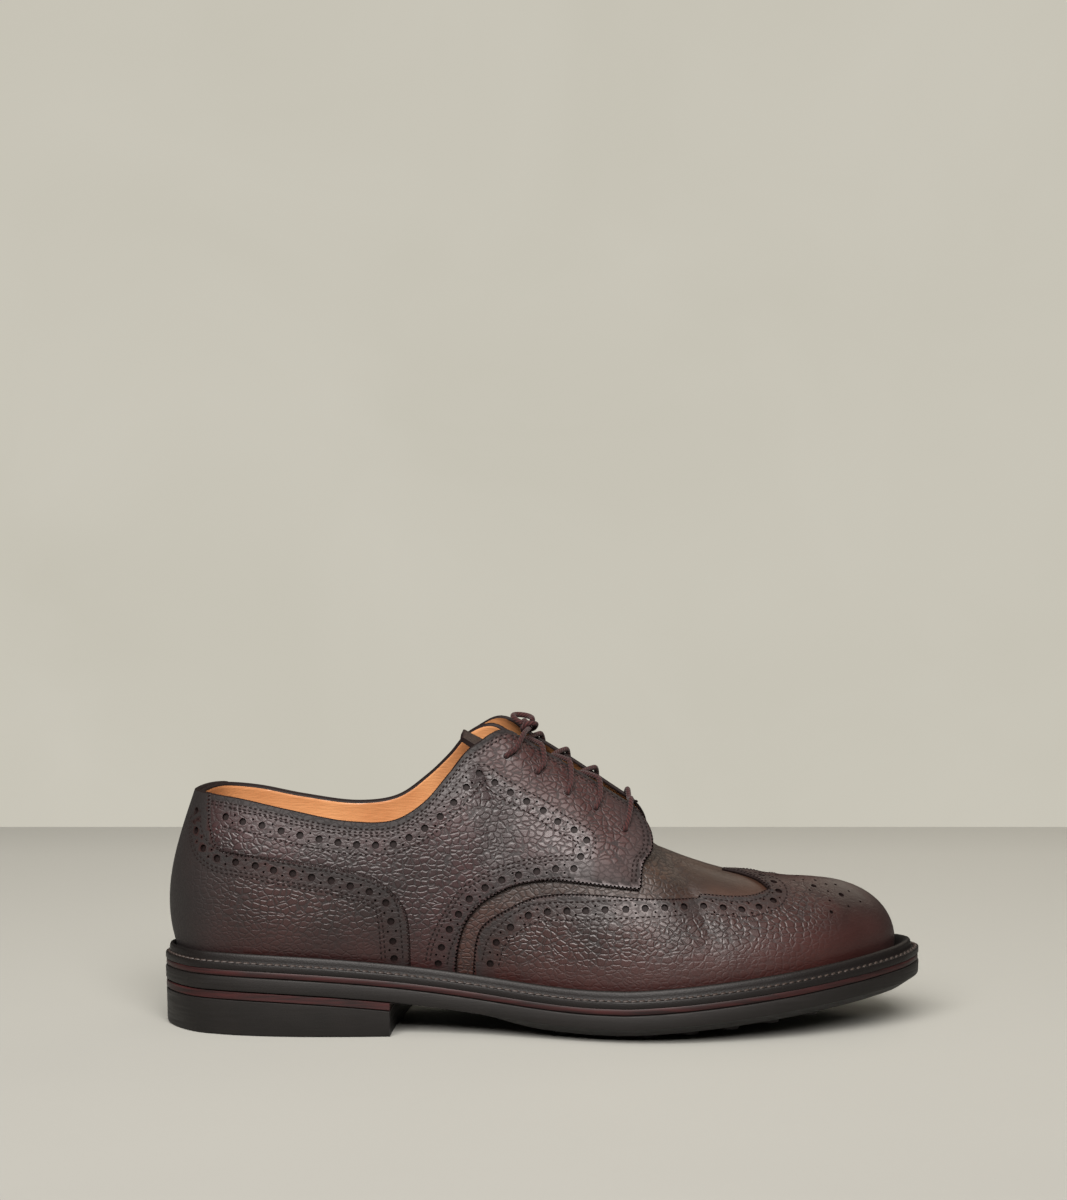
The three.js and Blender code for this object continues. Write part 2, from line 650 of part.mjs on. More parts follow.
// A point of the facing at an eyelet, pushed out by a distance, and its outward direction.
function facingPoint(side, place, share, distance) {
  const step = (side === 'lateral' ? place : 2 * lastRow - place) * stepsPerRow;
  const nudge = 0.1;
  const shareNudge = 0.02;
  const ahead = surfacePoint(step + nudge, share, true);
  const behind = surfacePoint(step - nudge, share, true);
  const above = surfacePoint(step, share + shareNudge, true);
  const below = surfacePoint(step, share - shareNudge, true);
  const outward = ahead.sub(behind).cross(above.sub(below)).normalize();
  return { point: surfacePoint(step, share, true).addScaledVector(outward, distance), outward };
}

const eyeletSides = 8;
function eyeletSolid(side, { place, depth }) {
  const { point, outward } = facingPoint(side, place, depth, gap + overlayThickness / 2);
  const geometry = new THREE.CylinderGeometry(eyeletRadius, eyeletRadius, 4, eyeletSides);
  const turn = new THREE.Quaternion().setFromUnitVectors(new THREE.Vector3(0, 1, 0), outward);
  return toSolid(joined(geometry, new THREE.Matrix4().compose(point, turn, new THREE.Vector3(1, 1, 1))));
}

// Tongue: a curved leather leaf along its centre line, arched across.
function tongueGeometry() {
  const acrossSteps = 6;
  const surface = tongueRows.map((row) => {
    const centre = lastPoint([row.along, row.across, row.rise]);
    const line = [];
    for (let index = 0; index <= acrossSteps; index += 1) {
      const share = 2 * index / acrossSteps - 1;
      const point = centre.clone();
      point.y += share * row.half * ballWidth;
      point.z -= share * share * row.sag * instepHeight;
      line.push(point);
    }
    return line;
  });
  const lastLine = surface.length - 1;
  const lowered = surface.map((line, row) => line.map((point, index) => {
    const along = surface[Math.min(row + 1, lastLine)][index].clone()
      .sub(surface[Math.max(row - 1, 0)][index]);
    const across = line[Math.min(index + 1, acrossSteps)].clone().sub(line[Math.max(index - 1, 0)]);
    const normal = across.cross(along).normalize();
    return point.clone().addScaledVector(normal, -tongueThickness * Math.sign(normal.z));
  }));
  const triangles = [];
  for (let row = 0; row < lastLine; row += 1) {
    for (let index = 0; index < acrossSteps; index += 1) {
      addQuad(triangles, surface[row][index], surface[row][index + 1],
        surface[row + 1][index + 1], surface[row + 1][index]);
      addQuad(triangles, lowered[row + 1][index], lowered[row + 1][index + 1],
        lowered[row][index + 1], lowered[row][index]);
    }
    addQuad(triangles, surface[row + 1][0], lowered[row + 1][0], lowered[row][0], surface[row][0]);
    addQuad(triangles, surface[row][acrossSteps], lowered[row][acrossSteps],
      lowered[row + 1][acrossSteps], surface[row + 1][acrossSteps]);
  }
  for (let index = 0; index < acrossSteps; index += 1) {
    addQuad(triangles, surface[0][index], lowered[0][index], lowered[0][index + 1], surface[0][index + 1]);
    addQuad(triangles, surface[lastLine][index + 1], lowered[lastLine][index + 1],
      lowered[lastLine][index], surface[lastLine][index]);
  }
  return solidGeometry(triangles);
}

// A length of round lace along a smooth curve.
const laceSides = 8;
function laceSolid(points, steps) {
  const section = new THREE.Shape();
  section.absarc(0, 0, laceDiameter / 2, 0, 2 * Math.PI);
  const geometry = new THREE.ExtrudeGeometry(section, {
    steps, curveSegments: laceSides / 2, extrudePath: smoothCurve(points, false), bevelEnabled: false,
  });
  return toSolid(joined(geometry));
}

// A lace strand from an eyelet over the facing's edge, down into the throat and under the other.
// The shares of the way between the two edges at which it leaves the first, sinks and ends.
const laceRide = gap + overlayThickness + laceDiameter / 2 + 2 * gap;
const edgeDepth = 0.99;
const strandShares = { over: 0.12, middle: 0.5, end: 0.74 };
const strandSink = 4.2;
const strandSteps = 6;
function strandPoints(side, from, to) {
  const other = side === 'lateral' ? 'medial' : 'lateral';
  const start = facingPoint(side, from.place, from.depth, laceRide).point;
  const nearEdge = facingPoint(side, from.place, edgeDepth, laceRide).point;
  const farEdge = facingPoint(other, to.place, edgeDepth, 0).point;
  const overEdge = nearEdge.clone().lerp(farEdge, strandShares.over);
  const middlePoint = nearEdge.clone().lerp(farEdge, strandShares.middle);
  middlePoint.z -= strandSink - laceDiameter;
  const end = nearEdge.clone().lerp(farEdge, strandShares.end);
  end.z -= strandSink + laceDiameter / 2;
  return [start, nearEdge, overEdge, middlePoint, end];
}

function crossSolid(index) {
  const from = eyelets[index];
  const to = eyelets[index - 1];
  return laceSolid(strandPoints('lateral', from, to), strandSteps)
    .add(laceSolid(strandPoints('medial', from, to), strandSteps));
}

// The bar at the lowest eyelets lies over both facings.
const barSteps = 12;
function barSolid() {
  const eyelet = eyelets[eyelets.length - 1];
  const points = ['lateral', 'medial'].map((side) => [
    facingPoint(side, eyelet.place, eyelet.depth, laceRide).point,
    facingPoint(side, eyelet.place + 0.1, edgeDepth - 0.01, laceRide).point,
  ]);
  const [[lateralEyelet, lateralEdge], [medialEyelet, medialEdge]] = points;
  const middlePoint = lateralEdge.clone().lerp(medialEdge, 0.5);
  middlePoint.z -= laceDiameter;
  return laceSolid([lateralEyelet, lateralEdge, middlePoint, medialEdge, medialEyelet], barSteps);
}

// The strands of the top eyelets meet in a small knot, with one short loop on the medial side.
const knotRadius = 3;
const knotAhead = 7.5;
const loopSpan = 12;
const topEyelet = eyelets[0];
const knotCentre = facingPoint('lateral', topEyelet.place, edgeDepth, 0).point
  .lerp(facingPoint('medial', topEyelet.place, edgeDepth, 0).point, 0.5)
  .add(new THREE.Vector3(knotAhead, 0, 0));

function knotSolid() {
  const sideStrands = ['lateral', 'medial'].map((side) => laceSolid([
    facingPoint(side, topEyelet.place, topEyelet.depth, laceRide).point,
    facingPoint(side, topEyelet.place + 0.25, edgeDepth, laceRide).point,
    knotCentre,
  ], strandSteps));
  const ball = new THREE.SphereGeometry(knotRadius, 10, 6);
  const flattened = new THREE.Matrix4().makeScale(1, 1.15, 0.8).setPosition(knotCentre);
  return sideStrands[0].add(sideStrands[1]).add(toSolid(joined(ball, flattened)));
}

// The loop's middle line, as steps from the knot.
const loopSteps = [
  [-2.8, 2.6, 1.8], [-5.2, 4.6, 3.0], [-6.6, 7.4, 4.2], [-6.2, 10.4, 4.8], [-3.8, 11.8, 4.8],
  [-1.0, 11.0, 4.4], [0.8, 8.4, 3.8], [1.2, 5.4, 3.0],
];
const loopPoints = loopSteps.map(([x, y, z]) => knotCentre.clone().add(new THREE.Vector3(x, y, z)));

// Colours and finishes.
const finish = (color, roughness) => new THREE.MeshStandardMaterial({ color, roughness });
const grainLeather = finish(0x3a201c, 0.45);
const darkLeather = finish(0x2a1715, 0.42);
const lining = finish(0xc87f45, 0.6);
const insoleLeather = finish(0xb98a5c, 0.6);
const weltLeather = finish(0x2b2624, 0.55);
const edgeRed = finish(0x4a2422, 0.5);
const rubber = finish(0x232221, 0.7);
const laceCotton = finish(0x45292a, 0.85);

const shoe = new THREE.Group();
function addPiece(name, geometry, material) {
  const mesh = new THREE.Mesh(geometry, material);
  mesh.name = name;
  shoe.add(mesh);
}

addPiece('upper', upperGeometry, lining);
addPiece('quarter_lateral', toGeometry(quarterSolid('lateral')), grainLeather);
addPiece('quarter_medial', toGeometry(quarterSolid('medial')), grainLeather);
addPiece('wing_cap', toGeometry(wingSolid), grainLeather);
addPiece('heel_counter', toGeometry(counterSolid), darkLeather);
addPiece('tongue', tongueGeometry(), darkLeather);
addPiece('insole', insoleGeometry, insoleLeather);
addPiece('welt', weltGeometry, weltLeather);
addPiece('midsole', midsoleGeometry, edgeRed);
addPiece('outsole', outsoleGeometry(), rubber);
addPiece('heel_lift', toGeometry(liftSolid), edgeRed);
addPiece('heel_block', toGeometry(blockSolid), rubber);
addPiece('lace_bar', toGeometry(barSolid()), laceCotton);
for (let index = 1; index < eyelets.length - 1; index += 1) {
  addPiece(`lace_cross_${index}`, toGeometry(crossSolid(index)), laceCotton);
}
addPiece('lace_knot', toGeometry(knotSolid()), laceCotton);
addPiece('lace_loop', toGeometry(laceSolid(loopPoints, loopSpan)), laceCotton);

// The sole edge's box, centred on the origin.
const box = new THREE.Box3().setFromObject(shoe);
shoe.position.set(-(box.min.x + box.max.x) / 2, -(box.min.y + box.max.y) / 2, -box.min.z);

export default shoe;
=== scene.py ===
# Wing-tip brogue derby shoe for the right foot, dressed from the insole up.
# The toe points along +X, the inner side lies at +Y and the floor is Z = 0.
import math
import bpy
import numpy as np
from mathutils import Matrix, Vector
from mathutils.bvhtree import BVHTree
from mathutils.kdtree import KDTree


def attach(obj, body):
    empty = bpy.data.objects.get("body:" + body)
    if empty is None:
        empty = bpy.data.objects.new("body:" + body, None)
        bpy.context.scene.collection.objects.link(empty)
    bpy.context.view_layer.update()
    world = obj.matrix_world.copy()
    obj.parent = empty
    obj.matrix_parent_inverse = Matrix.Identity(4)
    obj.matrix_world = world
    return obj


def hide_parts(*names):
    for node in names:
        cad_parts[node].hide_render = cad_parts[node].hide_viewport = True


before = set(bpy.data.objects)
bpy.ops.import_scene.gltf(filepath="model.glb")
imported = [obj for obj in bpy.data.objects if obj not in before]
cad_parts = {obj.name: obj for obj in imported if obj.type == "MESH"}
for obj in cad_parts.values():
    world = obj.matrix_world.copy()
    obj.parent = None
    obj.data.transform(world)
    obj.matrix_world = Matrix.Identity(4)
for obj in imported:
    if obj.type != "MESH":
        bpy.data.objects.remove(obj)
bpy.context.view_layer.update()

# Camera, floor and light. The shoe stands level on a matt stone floor, seen from its outer side
# from just above the top of the upper. The main light is a wide soft one in front, with a weak
# one above and a weak one behind the toe that lays a sheen over the cap.
MM = 0.001


def hex_colour(code):
    parts = [int(code[i:i + 2], 16) / 255 for i in (0, 2, 4)]
    return [p / 12.92 if p <= 0.04045 else ((p + 0.055) / 1.055) ** 2.4 for p in parts] + [1.0]


def add_node(tree, kind, inputs=None, **settings):
    node = tree.nodes.new(kind)
    for key, value in settings.items():
        setattr(node, key, value)
    for key, value in (inputs or {}).items():
        if isinstance(value, bpy.types.NodeSocket):
            tree.links.new(value, node.inputs[key])
        else:
            node.inputs[key].default_value = value
    return node


def new_material(name):
    material = bpy.data.materials.new(name)
    material.use_nodes = True
    material.node_tree.nodes.clear()
    return material, material.node_tree


def finish_material(tree, shader):
    add_node(tree, "ShaderNodeOutputMaterial", {"Surface": shader.outputs[0]})


def noise(tree, vector, scale, detail=2.0):
    inputs = {"Vector": vector, "Scale": scale, "Detail": detail}
    return add_node(tree, "ShaderNodeTexNoise", inputs).outputs["Fac"]


def blend(tree, share, low, high):
    """A colour between two, each of them a socket or a hex code."""
    low, high = (hex_colour(c) if isinstance(c, str) else c for c in (low, high))
    return add_node(tree, "ShaderNodeMix", {0: share, 6: low, 7: high}, data_type="RGBA").outputs[2]


def reckon(tree, operation, *values):
    return add_node(tree, "ShaderNodeMath", dict(enumerate(values)), operation=operation).outputs[0]


def move(tree, operation, first, second):
    key = "Scale" if operation == "SCALE" else 1
    return add_node(tree, "ShaderNodeVectorMath", {0: first, key: second}, operation=operation).outputs[0]


def ramp(tree, value, low, high, start=0.0, end=1.0, kind="LINEAR"):
    inputs = {"Value": value, "From Min": low, "From Max": high, "To Min": start, "To Max": end}
    return add_node(tree, "ShaderNodeMapRange", inputs, interpolation_type=kind).outputs[0]


def metres(tree):
    return add_node(tree, "ShaderNodeTexCoord").outputs["Object"]


def millimetres(tree):
    return move(tree, "SCALE", metres(tree), 1000.0)


def surface(tree, colour, roughness, height, strength, distance, extra=None):
    """The bump (its distance in metres), shader and output of a material."""
    bump = add_node(tree, "ShaderNodeBump", {"Height": height, "Strength": strength, "Distance": distance})
    inputs = {"Base Color": colour, "Roughness": roughness, "Normal": bump.outputs[0]}
    finish_material(tree, add_node(tree, "ShaderNodeBsdfPrincipled", {**inputs, **(extra or {})}))


def fibrous(name, scale, detail, tones, roughness, strength, distance, extra=None):
    """A material whose tone and relief both follow one fine noise."""
    material, tree = new_material(name)
    nap = noise(tree, metres(tree), scale, detail)
    surface(tree, blend(tree, nap, *tones), roughness, nap, strength, distance, extra)
    return material


bpy.ops.object.select_all(action="DESELECT")
CAMERA_PLACE, CAMERA_LENS, SENSOR_WIDTH, FRAME_SHIFT = (-0.004, -0.870, 0.1710), 64.98, 36.0, -0.005
bpy.ops.object.camera_add(location=CAMERA_PLACE, rotation=(math.pi / 2, 0, 0))
camera = bpy.context.object
camera.data.lens = CAMERA_LENS
camera.data.sensor_width = SENSOR_WIDTH
camera.data.shift_y = FRAME_SHIFT
camera.data.clip_start = 0.05
bpy.context.scene.camera = camera
bpy.context.scene.view_settings.view_transform = "Standard"


def soft_light(name, place, aim, size, power, colour):
    light = bpy.data.lights.new(name, "AREA")
    light.shape = "RECTANGLE"
    light.size, light.size_y = size
    light.energy = power
    light.color = hex_colour(colour)[:3]
    holder = bpy.data.objects.new(name, light)
    bpy.context.collection.objects.link(holder)
    holder.location = place
    holder.rotation_euler = (Vector(aim) - Vector(place)).to_track_quat("-Z", "Y").to_euler()
    return holder


soft_light("light_above", (0.05, -0.25, 1.25), (0, 0, 0.03), (1.2, 0.8), 4.5, "fff8ee")
soft_light("light_front", (-0.12, -1.10, 0.95), (0, 0, 0.05), (1.4, 0.8), 70.0, "fffaf6")
soft_light("light_behind_toe", (0.75, 0.85, 0.85), (0.05, 0, 0.06), (0.9, 0.5), 2.0, "fff2e0")

world = bpy.data.worlds.new("studio")
bpy.context.scene.world = world
world.use_nodes = True
world.node_tree.nodes.clear()
tree = world.node_tree
coords = add_node(tree, "ShaderNodeTexCoord").outputs["Generated"]
mottle = add_node(tree, "ShaderNodeTexNoise", {"Vector": coords, "Scale": 7.0, "Detail": 6.0,
                                              "Distortion": 0.6})
plaster = blend(tree, mottle.outputs["Fac"], "c2beb0", "cdc9bd")
split = add_node(tree, "ShaderNodeSeparateXYZ", {"Vector": coords})
overhead = ramp(tree, split.outputs["Z"], 0.05, 0.9, 0.05, 0.40)
ray = add_node(tree, "ShaderNodeLightPath").outputs["Is Camera Ray"]
strength = add_node(tree, "ShaderNodeMix", {0: ray, 2: overhead, 3: 1.0}, data_type="FLOAT")
backdrop = add_node(tree, "ShaderNodeBackground", {"Color": plaster, "Strength": strength.outputs[0]})
add_node(tree, "ShaderNodeOutputWorld", {"Surface": backdrop.outputs[0]})

# Floor: honed stone, matt, with a faint cloudy tone, darker at the front and paler towards the wall as painted
# light and shade.
floor_stone, tree = new_material("floor_honed_stone")
place = metres(tree)
near = blend(tree, noise(tree, place, 7.0, 5.0), "4b4b48", "545451")
split = add_node(tree, "ShaderNodeSeparateXYZ", {"Vector": place})
# Painted light and shade: the stone's colour runs from dark at the front to pale towards the wall.
tone = blend(tree, ramp(tree, split.outputs["Y"], -0.75, 0.55), near, "a9a9a3")
finish_material(tree, add_node(tree, "ShaderNodeBsdfPrincipled", {"Base Color": tone, "Roughness": 0.7}))
FLOOR_WIDTH, FLOOR_BACK, FLOOR_FRONT = 5.0, 0.72, -3.0
bpy.ops.mesh.primitive_plane_add(size=1)
floor = bpy.context.object
floor.name = "floor"
for vertex in floor.data.vertices:
    vertex.co.x *= FLOOR_WIDTH
    vertex.co.y = FLOOR_BACK if vertex.co.y > 0 else FLOOR_FRONT
floor.data.materials.append(floor_stone)

# Lace loop: a short round waxed-cotton loop, 22 mm along, that stands up behind the knot and goes
# back into it.
LACE, CORD_STEP = 2.2, 0.5


def smooth_curve(points, closed=False):
    """A centripetal curve through the points, as a function of its share from 0 to 1."""
    points = [Vector(p) for p in points]
    count = len(points)

    def point_at(index):
        if closed:
            return points[index % count]
        if index < 0:
            return 2 * points[0] - points[1]
        if index >= count:
            return 2 * points[-1] - points[-2]
        return points[index]

    def at(share):
        place = (count if closed else count - 1) * share
        index = math.floor(place) if closed else max(0, min(math.floor(place), count - 2))
        part = place - index
        a, b, c, d = (point_at(index + k) for k in (-1, 0, 1, 2))
        ab, bc, cd = (max((q - p).length, 1e-8) ** 0.5 for p, q in ((a, b), (b, c), (c, d)))
        start = ((b - a) / ab - (c - a) / (ab + bc) + (c - b) / bc) * bc
        end = ((c - b) / bc - (d - b) / (bc + cd) + (d - c) / cd) * bc
        return (b + start * part + (3 * (c - b) - 2 * start - end) * part ** 2
                + (2 * (b - c) + start + end) * part ** 3)

    return at


def mesh_piece(name, points, faces, materials, slots=None, uv=None):
    """A mesh object from points in millimetres."""
    mesh = bpy.data.meshes.new(name)
    mesh.from_pydata([tuple(c * MM for c in p) for p in points], [], faces)
    for material in materials:
        mesh.materials.append(material)
    if slots is not None:
        mesh.polygons.foreach_set("material_index", slots)
    if uv is not None:
        layer = mesh.uv_layers.new(name="UVMap")
        for loop in mesh.loops:
            layer.data[loop.index].uv = uv[loop.vertex_index]
    mesh.validate()
    piece = bpy.data.objects.new(name, mesh)
    bpy.context.collection.objects.link(piece)
    mesh.polygons.foreach_set("use_smooth", [True] * len(mesh.polygons))
    return piece


def tube_faces(start, rings, sides):
    """Faces between rings of points that follow one another, and one over each end."""
    faces = []
    for a in range(start, start + (rings - 1) * sides, sides):
        for k in range(sides):
            after = (k + 1) % sides
            faces.append((a + k, a + after, a + sides + after, a + sides + k))
    end = start + (rings - 1) * sides
    return faces + [tuple(start + k for k in reversed(range(sides))), tuple(end + k for k in range(sides))]


def round_cord(name, points, radius, material, sides=14):
    """A round cord along the points, closed at both ends, with its length and turn as its UVs."""
    curve = smooth_curve(points)
    steps = max(12, int(sum((Vector(q) - Vector(p)).length for p, q in zip(points, points[1:])) / CORD_STEP))
    line = [curve(k / steps) for k in range(steps + 1)]
    tangents = [(line[min(k + 1, steps)] - line[max(k - 1, 0)]).normalized() for k in range(steps + 1)]
    side = tangents[0].orthogonal().normalized()
    verts, uv, run = [], [], 0.0
    for k, (point, tangent) in enumerate(zip(line, tangents)):
        side = (side - tangent * side.dot(tangent)).normalized()
        other = tangent.cross(side)
        run += (point - line[k - 1]).length if k else 0.0
        for turn in range(sides):
            angle = 2 * math.pi * turn / sides
            verts.append(point + radius * (side * math.cos(angle) + other * math.sin(angle)))
            uv.append((run, turn / sides * 2 * math.pi * radius))
    return mesh_piece(name, verts, tube_faces(0, steps + 1, sides), [material], uv=uv)


# Waxed cotton, braided: dull plum brown, with the braid's small slanting ribs about 0.9 mm apart,
# drawn a little coarse so that they show.
lace_cotton, tree = new_material("lace_waxed_cotton")
place = add_node(tree, "ShaderNodeTexCoord").outputs["UV"]
ribs = add_node(tree, "ShaderNodeTexWave", {"Vector": place, "Scale": 0.36, "Distortion": 1.2, "Detail": 2.0},
                bands_direction="DIAGONAL").outputs["Fac"]
relief = reckon(tree, "ADD", ribs, noise(tree, place, 2.2, 3.0))
surface(tree, blend(tree, ribs, "1a0b0b", "361a19"), 0.72, relief, 0.7, 0.00025,
        {"Specular IOR Level": 0.12, "Sheen Weight": 0.06, "Sheen Roughness": 0.5})

LOOP_ROUTE = [(-8.4, 1.0, 119.0), (-10.8, 3.0, 120.2), (-12.2, 5.8, 121.4), (-11.8, 8.8, 122.0),
              (-9.4, 10.2, 122.0), (-6.6, 9.4, 121.6), (-4.8, 6.8, 121.0), (-4.4, 3.8, 120.2)]
loop = round_cord("lace_loop_cord", LOOP_ROUTE, LACE / 2, lace_cotton)
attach(loop, "root")
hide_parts("lace_loop")


# Insole: a 3 mm leather board with a tan top. Its outline is the last's, taken from the shoe's
# sections.
SOLE, BALL, INSTEP = 303.0, 105.0, 98.0
TOE_SPRING, BALL_LEVEL, HEEL_RISE = 13.0, 16.5, 11.8
WELT_REACH, FOOT_CLEARANCE, UPPER_WALL, GAP = 6.2, 3.7, 2.2, 0.3
MIDDLE_SHIFT = -2.680
# along, lateral edge, medial edge, reach, swell (out, up, out, down)
SECTIONS = [
    (0.000, 0.029, 0.029, 0.62, 0.078, 0.22, 0.076, 0.245),
    (0.040, -0.190, 0.238, 0.64, 0.076, 0.21, 0.068, 0.23),
    (0.095, -0.272, 0.310, 0.68, 0.072, 0.20, 0.058, 0.21),
    (0.170, -0.310, 0.336, 0.72, 0.066, 0.19, 0.046, 0.19),
    (0.250, -0.314, 0.335, 0.76, 0.062, 0.18, 0.040, 0.18),
    (0.320, -0.305, 0.331, 0.82, 0.060, 0.18, 0.040, 0.18),
    (0.380, -0.312, 0.337, 0.88, 0.056, 0.20, 0.050, 0.20),
    (0.430, -0.333, 0.357, 0.94, 0.052, 0.22, 0.070, 0.21),
    (0.475, -0.367, 0.386, 0.98, 0.048, 0.24, 0.095, 0.20),
    (0.515, -0.400, 0.417, 1.00, 0.046, 0.25, 0.120, 0.17),
    (0.550, -0.429, 0.446, 1.00, 0.046, 0.25, 0.140, 0.14),
    (0.590, -0.455, 0.476, 1.00, 0.046, 0.24, 0.150, 0.11),
    (0.630, -0.470, 0.501, 1.00, 0.046, 0.23, 0.155, 0.08),
    (0.675, -0.472, 0.520, 1.02, 0.046, 0.21, 0.180, 0.05),
    (0.720, -0.457, 0.524, 1.04, 0.046, 0.20, 0.230, 0.02),
    (0.770, -0.427, 0.510, 1.08, 0.044, 0.19, 0.245, 0.01),
    (0.825, -0.376, 0.471, 1.12, 0.042, 0.18, 0.250, 0.00),
    (0.880, -0.300, 0.410, 1.16, 0.040, 0.17, 0.255, 0.00),
    (0.928, -0.212, 0.340, 1.20, 0.036, 0.16, 0.250, 0.00),
    (0.979, -0.072, 0.238, 1.24, 0.032, 0.16, 0.230, 0.00),
    (1.000, 0.086, 0.086, 1.25, 0.026, 0.16, 0.205, 0.00),
]
LAST_ROW = len(SECTIONS) - 1
COLUMNS, RUNGS = 320, 48
COLUMNS_PER_ROW = COLUMNS // (2 * LAST_ROW)


def x_at(along):
    return (along - 0.5) * SOLE


def along_at(x):
    return x / SOLE + 0.5


def y_at(across):
    return across * BALL + MIDDLE_SHIFT


def smooth_step(value, low, high):
    part = min(max((value - low) / (high - low), 0.0), 1.0)
    return part * part * (3 - 2 * part)


def welt_top(along):
    arch = min(max(along / 0.57, 0.0), 1.0) ** 1.5
    spring = min(max((along - 0.6) / 0.4, 0.0), 1.1)
    return BALL_LEVEL + HEEL_RISE * (1 - smooth_step(arch, 0, 1)) + TOE_SPRING * spring ** 1.25


def smooth_value(values, place):
    """A value between the rows of a list, at a place counted in rows."""
    row = min(int(place), len(values) - 2)
    part = place - row
    before, start, end = values[max(row - 1, 0)], values[row], values[row + 1]
    after = values[min(row + 2, len(values) - 1)]
    return 0.5 * (2 * start + (end - before) * part + (2 * before - 5 * start + 4 * end - after) * part ** 2
                  + (3 * start - before - 3 * end + after) * part ** 3)


sole_edge = smooth_curve(
    [(x_at(row[0]), y_at(row[1]), 0) for row in SECTIONS]
    + [(x_at(row[0]), y_at(row[2]), 0) for row in reversed(SECTIONS[1:-1])], closed=True)


def station(column):
    """A column of the grid as its side and its place in rows from the heel."""
    column %= COLUMNS
    lateral = column <= COLUMNS / 2
    return "lateral" if lateral else "medial", (column if lateral else COLUMNS - column) / COLUMNS_PER_ROW


def edge_frame(column):
    around = (column % COLUMNS) / COLUMNS
    tangent = (sole_edge((around + 0.0005) % 1) - sole_edge((around - 0.0005) % 1)).normalized()
    return sole_edge(around), Vector((tangent.y, -tangent.x, 0))


def edge_point(column, inset):
    point, outward = edge_frame(column)
    return point - outward * inset


def reach_at(column):
    return WELT_REACH * smooth_value([row[3] for row in SECTIONS], station(column)[1])


def sole_layer(name, rim, materials):
    """A closed layer with the sole's outline. rim rows, from the top down, are (inset, level, rise)."""
    points, faces = [], []
    for column in range(COLUMNS):
        for inset, level, rise in rim:
            point = edge_point(column, inset(column) if callable(inset) else inset)
            point.z = level(along_at(point.x)) + rise
            points.append(point)
    rows = len(rim)
    for column in range(COLUMNS):
        after = (column + 1) % COLUMNS
        for row in range(rows - 1):
            here, there = column * rows + row, after * rows + row
            faces.append((here, here + 1, there + 1, there))
    for column in range(COLUMNS // 2):
        across, before = (COLUMNS - column) % COLUMNS, COLUMNS - column - 1
        for row, turned in ((0, False), (rows - 1, True)):
            face = []
            for corner in (column, column + 1, before, across):
                if corner * rows + row not in face:
                    face.append(corner * rows + row)
            faces.append(tuple(reversed(face)) if turned else tuple(face))
    return mesh_piece(name, points, faces, materials)


def select_only(*pieces):
    bpy.ops.object.select_all(action="DESELECT")
    for piece in pieces:
        piece.select_set(True)
    bpy.context.view_layer.objects.active = pieces[0]


def smooth_edges(piece, degrees):
    select_only(piece)
    bpy.ops.object.shade_smooth_by_angle(angle=math.radians(degrees))


def face_outwards(piece):
    select_only(piece)
    bpy.ops.object.mode_set(mode="EDIT")
    bpy.ops.mesh.select_all(action="SELECT")
    bpy.ops.mesh.normals_make_consistent(inside=False)
    bpy.ops.object.mode_set(mode="OBJECT")


def cut_away(piece, cutter):
    """Takes the cutter's shape out of the piece and removes the cutter."""
    modifier = piece.modifiers.new("cut", "BOOLEAN")
    modifier.operation = "DIFFERENCE"
    modifier.solver = "MANIFOLD"
    modifier.object = cutter
    select_only(piece)
    bpy.ops.object.modifier_apply(modifier=modifier.name)
    bpy.data.objects.remove(cutter)


# Vegetable-tanned sock leather: tan, satin, with fine pores.
sock_leather, tree = new_material("sock_veg_tanned_leather")
place = metres(tree)
surface(tree, blend(tree, noise(tree, place, 45.0, 4.0), "a9713f", "c98f56"), 0.45,
        noise(tree, place, 1400.0, 3.0), 0.4, 0.0002, {"Coat Weight": 0.1, "Coat Roughness": 0.35})


def insole_inset(column, more=0.0):
    return reach_at(column) + FOOT_CLEARANCE + UPPER_WALL + 0.5 + more


insole = sole_layer("insole_board", [
    (lambda column: insole_inset(column, 0.8), welt_top, GAP + 3.0),
    (lambda column: insole_inset(column, 0.2), welt_top, GAP + 2.7),
    (insole_inset, welt_top, GAP + 2.2), (insole_inset, welt_top, GAP)], [sock_leather])
smooth_edges(insole, 40)
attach(insole, "root")
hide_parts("insole")

# Upper: a vamp of calf, grained towards the facings, with the tan lining sewn inside it, one wall
# 2.2 mm thick, pulled over the last. It is open at the collar, down the throat and underneath.
THROAT_ROW, FACING_ROW = 14, 8
# along, across and rise of the top edge, first on the lateral side, then on the medial side
TOP_EDGE = [
    ((0.046, 0.022, 0.655), (0.046, 0.022, 0.655)), ((0.066, -0.157, 0.654), (0.066, 0.195, 0.663)),
    ((0.111, -0.231, 0.640), (0.111, 0.260, 0.649)), ((0.173, -0.259, 0.606), (0.173, 0.276, 0.617)),
    ((0.249, -0.267, 0.577), (0.249, 0.273, 0.604)), ((0.309, -0.265, 0.599), (0.302, 0.267, 0.644)),
    ((0.348, -0.254, 0.684), (0.342, 0.255, 0.743)), ((0.378, -0.229, 0.802), (0.373, 0.229, 0.846)),
    ((0.406, -0.181, 0.915), (0.401, 0.192, 0.955)), ((0.437, -0.143, 0.969), (0.434, 0.157, 1.006)),
    ((0.480, -0.133, 0.891), (0.480, 0.148, 0.934)), ((0.526, -0.133, 0.805), (0.526, 0.148, 0.836)),
    ((0.579, -0.129, 0.679), (0.579, 0.146, 0.701)), ((0.616, -0.095, 0.599), (0.616, 0.119, 0.609)),
    ((0.639, 0.019, 0.549), (0.639, 0.019, 0.549)),
]
RIDGE = [(0.639, 0.019, 0.549), (0.672, 0.022, 0.493), (0.715, 0.026, 0.431), (0.757, 0.030, 0.387),
         (0.797, 0.035, 0.355), (0.827, 0.038, 0.341), (0.850, 0.041, 0.328)]
